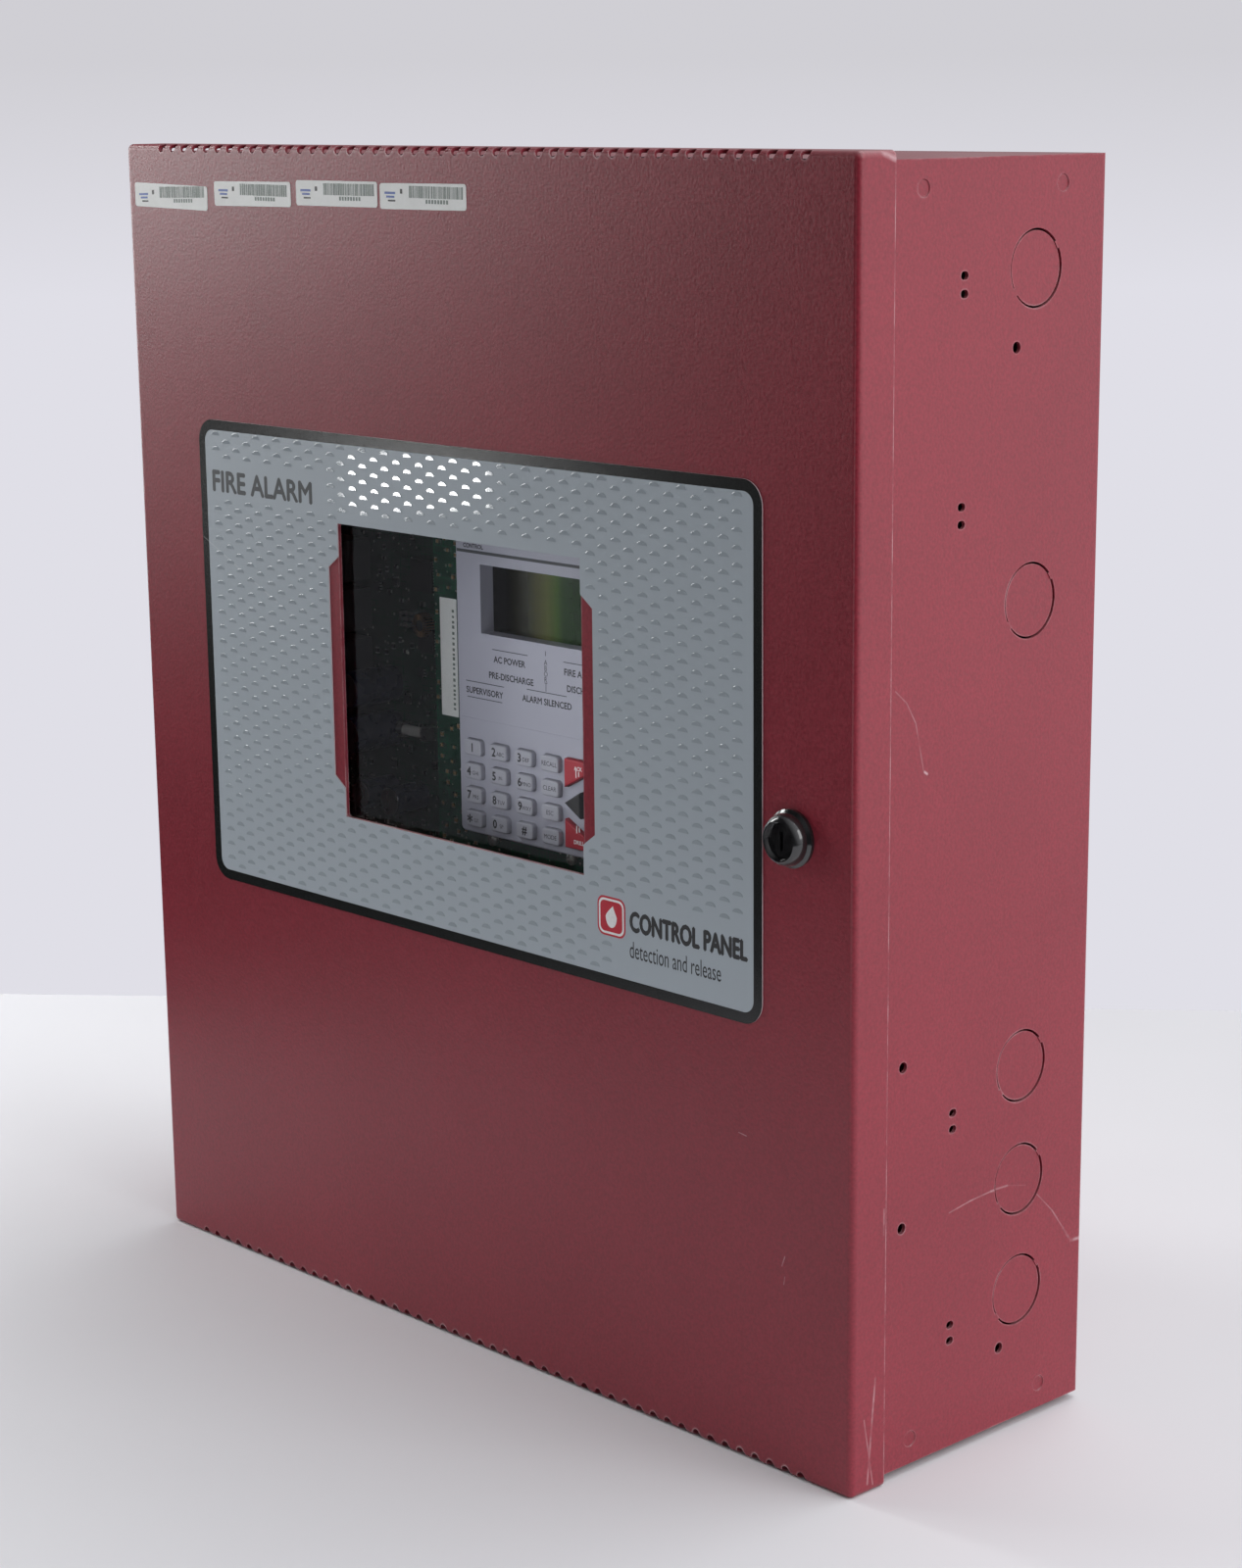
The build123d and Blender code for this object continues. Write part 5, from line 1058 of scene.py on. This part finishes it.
BOARD_GRID = 0.0016
MAIN_TRIES, MAIN_MARGIN, MAIN_ROOM, MAIN_GAP = 2600, 0.006, 0.0035, 0.0044
LARGE_SHARE = 0.16
draw = random.Random(21)
small_spots, large_spots = [], []
for _ in range(MAIN_TRIES):
    x = on_grid(main_low.x + MAIN_MARGIN, main_high.x - MAIN_MARGIN)
    z = on_grid(main_low.z + MAIN_MARGIN, main_high.z - MAIN_MARGIN)
    turn = draw.choice((0, math.pi / 2))
    large = draw.random() < LARGE_SHARE
    if not free(x, z, MAIN_ROOM) or crowded(x, z, small_spots + large_spots, MAIN_GAP):
        continue
    (large_spots if large else small_spots).append((x, MAIN_FRONT, z, turn))


def resistor(name, material):
    """A small block with a bright soldered end on each side."""
    ends = [((side * 0.00085, -0.00030, 0), (0.0004, 0.00062, 0.0013), solder) for side in (-1, 1)]
    return block_form(name, [((0, -0.00030, 0), (0.0013, 0.0006, 0.00125), material)] + ends)


copies_at("board_resistors", small_spots, resistor("resistor_form", chip_black), "cabinet", vary=0.35)
pin_blocks = [((0, -0.0009, 0), (0.0030, 0.0014, 0.0040), chip_black)]
pin_blocks += [((side * 0.0019, -0.0004, (i - 1) * 0.00127), (0.0009, 0.0005, 0.0005), solder)
               for side in (-1, 1) for i in range(3)]
copies_at("board_small_chips", large_spots, block_form("small_chip_form", pin_blocks), "cabinet")

# The same small parts on the strip of display board that shows beside the bezel
SIDE_TRIES, SIDE_GAP = 420, 0.0040
side_spots = []
for _ in range(SIDE_TRIES):
    x = on_grid(board_low.x + 0.002, face_low.x - 0.002)
    z = on_grid(board_low.z + 0.003, board_high.z - 0.003)
    on_sticker = -0.0800 < x < -0.0640 and 0.003 < z < 0.059
    if not on_sticker and not crowded(x, z, side_spots, SIDE_GAP):
        side_spots.append((x, BOARD_FRONT, z, draw.choice((0, math.pi / 2))))
copies_at("display_resistors", side_spots, resistor("side_resistor_form", ceramic_tan), "cabinet", size=0.9,
          vary=0.3)

# Inspection sticker: white paper with rows of plain grey marks, on the display board's left margin
STICKER_LOW = Vector((-0.0783, BOARD_FRONT - 0.00015, 0.0053))
STICKER_HIGH = Vector((-0.0674, BOARD_FRONT, 0.0562))
slabs("board_sticker", [(STICKER_LOW, STICKER_HIGH)], tag_paper, "cabinet", corner=0.0004)
sticker_marks = []
z = STICKER_LOW.z + 0.003
while z < STICKER_HIGH.z - 0.004:
    tall = draw.uniform(0.0008, 0.0016)
    sticker_marks.append(((STICKER_HIGH.x - 0.0030, STICKER_LOW.y - INK_RAISE, z),
                          (STICKER_HIGH.x - 0.0016, STICKER_LOW.y, z + tall)))
    z += tall + draw.uniform(0.0005, 0.0014)
slabs("board_sticker_marks", sticker_marks, bar_ink, "cabinet")

# Fuse: a glass tube in two bright clips, low on the main board's left
fuse_glass = moulded("fuse_glass", (0.55, 0.55, 0.52, 1), 0.15)
FUSE_AT = Vector((-0.1040, MAIN_FRONT - 0.0040, -0.0066))


def rod(shape, start, end, radius, sides=16):
    """A closed round bar between two points."""
    axis = Vector(end) - Vector(start)
    matrix = (Matrix.Translation((Vector(start) + Vector(end)) / 2)
              @ axis.to_track_quat("Z", "Y").to_matrix().to_4x4())
    bmesh.ops.create_cone(shape, cap_ends=True, segments=sides, radius1=radius, radius2=radius,
                          depth=axis.length, matrix=matrix)


TUBE_END = Vector((0.0075, 0, 0))
mesh_piece("fuse_tube", lambda shape: rod(shape, FUSE_AT - TUBE_END, FUSE_AT + TUBE_END, 0.0024), fuse_glass,
           "cabinet")


def fuse_ends(shape):
    for side in (-1, 1):
        rod(shape, FUSE_AT + Vector((side * 0.0062, 0, 0)), FUSE_AT + Vector((side * 0.0102, 0, 0)), 0.0026)
        for lift in (-1, 1):
            low = Vector((FUSE_AT.x + side * 0.0082 - 0.0015, FUSE_AT.y - 0.0020,
                          FUSE_AT.z + lift * 0.0029 - 0.0003))
            rounded_slab(shape, low, low + Vector((0.0030, 0.0060, 0.0006)))


mesh_piece("fuse_clips", fuse_ends, solder, "cabinet")

# A header of six bright pins and a wound choke, beside the display
HEADER_AT = Vector((-0.1110, MAIN_FRONT, 0.0420))
PIN_HALF = Vector((0.0009, 0, 0.0006))
PIN_TALL = Vector((0, 0.0030, 0))
pins = [HEADER_AT + Vector(((column - 0.5) * 0.0040, 0, (row - 1) * 0.0027))
        for column in range(2) for row in range(3)]
header = [(pin - PIN_HALF - PIN_TALL, pin + PIN_HALF) for pin in pins]
slabs("header_pins", header, solder, "cabinet")
CHOKE_AT = Vector((-0.0988, MAIN_FRONT, 0.0408))
CHOKE_TURNS, CHOKE_RADIUS, CHOKE_TALL, CHOKE_WIRE = 24, 0.0048, 0.0042, 0.00042
choke_wire = brushed_metal("choke_wire", (0.35, 0.20, 0.10, 1), 0.3, (1.0, 1.0, 1.0))


def choke(shape):
    """A wound ring: turns of enamelled wire around a core, flat on the board."""
    for i in range(CHOKE_TURNS):
        turn = 2 * math.pi * i / CHOKE_TURNS
        out_at = Vector((math.cos(turn), 0, math.sin(turn))) * CHOKE_RADIUS
        in_at = out_at * 0.52
        lift = Vector((0, -CHOKE_TALL, 0))
        rod(shape, CHOKE_AT + out_at + lift, CHOKE_AT + in_at + lift, CHOKE_WIRE, sides=6)
        rod(shape, CHOKE_AT + out_at, CHOKE_AT + out_at + lift, CHOKE_WIRE, sides=6)


mesh_piece("choke_winding", choke, choke_wire, "cabinet")
mesh_piece("choke_core", lambda shape: rod(shape, CHOKE_AT + Vector((0, -0.0002, 0)),
                                           CHOKE_AT + Vector((0, -0.0040, 0)),
                                           0.0045, sides=32), chip_black, "cabinet")


# ---- Parts on the main board ------------------------------------------------------------------------
# Green nylon terminal blocks with slotted screws, black relays, sleeved capacitors with bare tops,
# black chips with soldered legs, and two extruded heat sinks.
terminal_green = moulded("terminal_green", (0.018, 0.120, 0.050, 1), 0.38)
finish_nodes(terminal_green, "terminal_blocks")
finish_nodes(moulded("relay_black", (0.018, 0.018, 0.020, 1), 0.42), "relays")
finish_nodes(chip_black, "ic_chips")
finish_nodes(brushed_metal("sink_aluminium", (0.62, 0.62, 0.64, 1), 0.3, (1.0, 0.08, 1.0)), "heat_sinks")

sleeve, tree, shader, place = new_material("capacitor_sleeve")
facing = node(tree, "ShaderNodeSeparateXYZ", {0: node(tree, "ShaderNodeNewGeometry").outputs["Normal"]})
bare = maths("LESS_THAN", facing.outputs["Y"], -0.75)
print_band = noise(place, 160.0, 1.0)
stripe = maths("LESS_THAN", facing.outputs["X"], -0.82)
sleeved = mix_colour(maths("MULTIPLY", stripe, print_band), (0.010, 0.012, 0.030, 1),
                     (0.45, 0.45, 0.48, 1))
feed(shader, {"Base Color": mix_colour(bare, sleeved, (0.66, 0.66, 0.68, 1)),
              "Metallic": bare})
feed(shader, {"Roughness": spread(print_band, 0.0, 1.0, 0.22, 0.34)})
finish_nodes(sleeve, "capacitors")

SLOT_TURNS = (0.3, 1.2, 2.0, 0.8, 2.7)
HEAD_SIDES = 16


def slotted_head(name, radius, tall, cross):
    """A domed screw head with one or two slots, facing the front."""
    shape = bmesh.new()
    rings = []
    for share, lift in ((1.0, 0.0), (1.0, 0.45), (0.82, 0.8), (0.5, 1.0)):
        rings.append([shape.verts.new((math.cos(2 * math.pi * i / HEAD_SIDES) * radius * share, -tall * lift,
                                       math.sin(2 * math.pi * i / HEAD_SIDES) * radius * share))
                      for i in range(HEAD_SIDES)])
    for lower, upper in zip(rings, rings[1:]):
        for i in range(HEAD_SIDES):
            j = (i + 1) % HEAD_SIDES
            shape.faces.new((lower[i], lower[j], upper[j], upper[i]))
    shape.faces.new(rings[0])
    shape.faces.new(rings[-1])
    bmesh.ops.recalc_face_normals(shape, faces=shape.faces)
    head = to_mesh(name, shape, zinc)
    slot_form = block_form(f"{name}_slot", [((0, -tall, 0), (radius * 1.5, tall * 0.9, radius * 0.28), zinc)]
                           + ([((0, -tall, 0), (radius * 0.28, tall * 0.9, radius * 1.5), zinc)]
                              if cross else []))
    cut = head.modifiers.new("slot", "BOOLEAN")
    cut.operation = "DIFFERENCE"
    cut.object = slot_form
    cut.solver = "EXACT"
    cut.use_self = cross
    bpy.context.view_layer.update()
    made = plain_mesh(head, name)
    bpy.data.objects.remove(slot_form)
    return made


# Terminal screws sit in the round wells on each block's face
BLOCK_POLE, POWER_POLE = 0.00508, 0.0095
block_islands = sorted(islands("terminal_blocks"), key=lambda pair: pair[0].z)
power_block, signal_blocks = block_islands[0], block_islands[1:]
signal_spots, power_spots = [], []
for number, (low, high) in enumerate(signal_blocks):
    poles = round((high.x - low.x) / BLOCK_POLE)
    for pole in range(poles):
        signal_spots.append((low.x + (pole + 0.5) * BLOCK_POLE, low.y + 0.0024, high.z - 0.0085,
                             SLOT_TURNS[(number + pole) % len(SLOT_TURNS)]))
poles = round((power_block[1].x - power_block[0].x) / POWER_POLE)
for pole in range(poles):
    power_spots.append((power_block[0].x + (pole + 0.5) * POWER_POLE, power_block[0].y + 0.0024,
                        power_block[0].z + 0.0085, SLOT_TURNS[pole % len(SLOT_TURNS)]))
copies_at("terminal_screws", signal_spots, slotted_head("terminal_screw_form", 0.0015, 0.0012, False),
          "cabinet")
copies_at("power_screws", power_spots, slotted_head("power_screw_form", 0.0028, 0.0016, True), "cabinet")

# Pan head screws that hold the boards: detailed heads stand for the plain CAD ones
screw_spots = []
for low, high in islands("pan_head_screws"):
    screw_spots.append(((low.x + high.x) / 2, low.y + 0.0020, (low.z + high.z) / 2, low.x * 90))
heads = copies_at("board_screws", screw_spots, slotted_head("board_screw_form", 0.0028, 0.0019, True),
                  "cabinet")
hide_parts("pan_head_screws")

# Legs of the chips, soldered down along both long sides
LEG_PITCH, LEG_OUT = 0.00127, 0.0005
leg_spots = []
for low, high in islands("ic_chips"):
    tall = high.z - low.z >= high.x - low.x
    length = (high.z - low.z) if tall else (high.x - low.x)
    count = int(length / LEG_PITCH) - 1
    for i in range(count):
        step = (i - (count - 1) / 2) * LEG_PITCH
        for side in (-1, 1):
            edge = (high if side > 0 else low) + Vector((side, 0, side)) * LEG_OUT
            middle = (low + high) / 2
            leg_spots.append((edge.x, MAIN_FRONT, middle.z + step, 0.0) if tall
                             else (middle.x + step, MAIN_FRONT, edge.z, math.pi / 2))
copies_at("chip_legs", leg_spots, block_form("leg_form",
                                             (((0, -0.0004, 0), (0.0012, 0.0008, 0.0005), solder),)),
          "cabinet")


# ---- Chassis ----------------------------------------------------------------------------------------
# A folded channel of galvanised steel that carries the boards. It is held by nuts on studs in the
# back wall, and the transformer's brackets are of the same sheet.
chassis_steel = brushed_metal("chassis_steel", (0.55, 0.56, 0.56, 1), 0.38, (1.0, 1.0, 1.0), spangle=0.5)
finish_nodes(chassis_steel, "chassis", "transformer_brackets")


# ---- Ribbon cable -----------------------------------------------------------------------------------
# Flat grey cable of twenty wires, moulded side by side in soft vinyl. It loops from the display
# board to the main board, and is pressed into a connector at each end.
ribbon_grey, tree, shader, place = new_material("ribbon_grey")
# The colour is painted darker in the grooves between the wires and lighter on their crowns: painted shade and
# painted highlight, on the same wave as the bump.
rise = node(tree, "ShaderNodeSeparateXYZ", {0: place}).outputs["Z"]
wave = maths("SINE", maths("MULTIPLY", rise, 2 * math.pi / 0.00127))
send(mix_colour(maths("ADD", maths("MULTIPLY", wave, 0.5), 0.5),
                      (0.26, 0.26, 0.28, 1), (0.50, 0.50, 0.52, 1)), shader.inputs["Base Color"])
feed(shader, {"Roughness": 0.45})
relief(shader, wave, 0.5, 0.0002)
finish_nodes(ribbon_grey, "ribbon_cable")


# ---- Transformer ------------------------------------------------------------------------------------
# A stack of varnished steel laminations around a coil wrapped in amber tape, with three leads that
# run up to the mains terminals.
laminations, tree, shader, place = new_material("core_steel")
depth = node(tree, "ShaderNodeSeparateXYZ", {0: place}).outputs["Y"]
leaves = maths("SINE", maths("MULTIPLY", depth, 2 * math.pi / 0.0010))
varnish = noise(place, 90.0, 4.0)
steel = mix_colour(maths("ADD", maths("MULTIPLY", leaves, 0.4), 0.5), (0.045, 0.042, 0.040, 1),
                   (0.16, 0.15, 0.14, 1))
feed(shader, {"Base Color": mix_colour(maths("MULTIPLY", varnish, 0.4), steel, (0.16, 0.09, 0.04, 1)),
              "Metallic": 0.6, "Roughness": 0.45})
relief(shader, leaves, 0.5, 0.0001)
finish_nodes(laminations, "transformer_core")

tape, tree, shader, place = new_material("coil_tape")
laps = node(tree, "ShaderNodeTexWave", {"Vector": place, "Scale": 90.0, "Distortion": 2.0, "Detail": 2.0},
            bands_direction="Z")
feed(shader, {"Base Color": mix_colour(laps.outputs["Fac"], (0.42, 0.26, 0.03, 1), (0.58, 0.40, 0.07, 1)),
              "Roughness": 0.35})
relief(shader, laps.outputs["Fac"], 0.3, 0.0002)
finish_nodes(tape, "transformer_coil")
finish_nodes(moulded("lead_insulation", (0.020, 0.020, 0.022, 1), 0.45, grain=500.0), "transformer_leads")
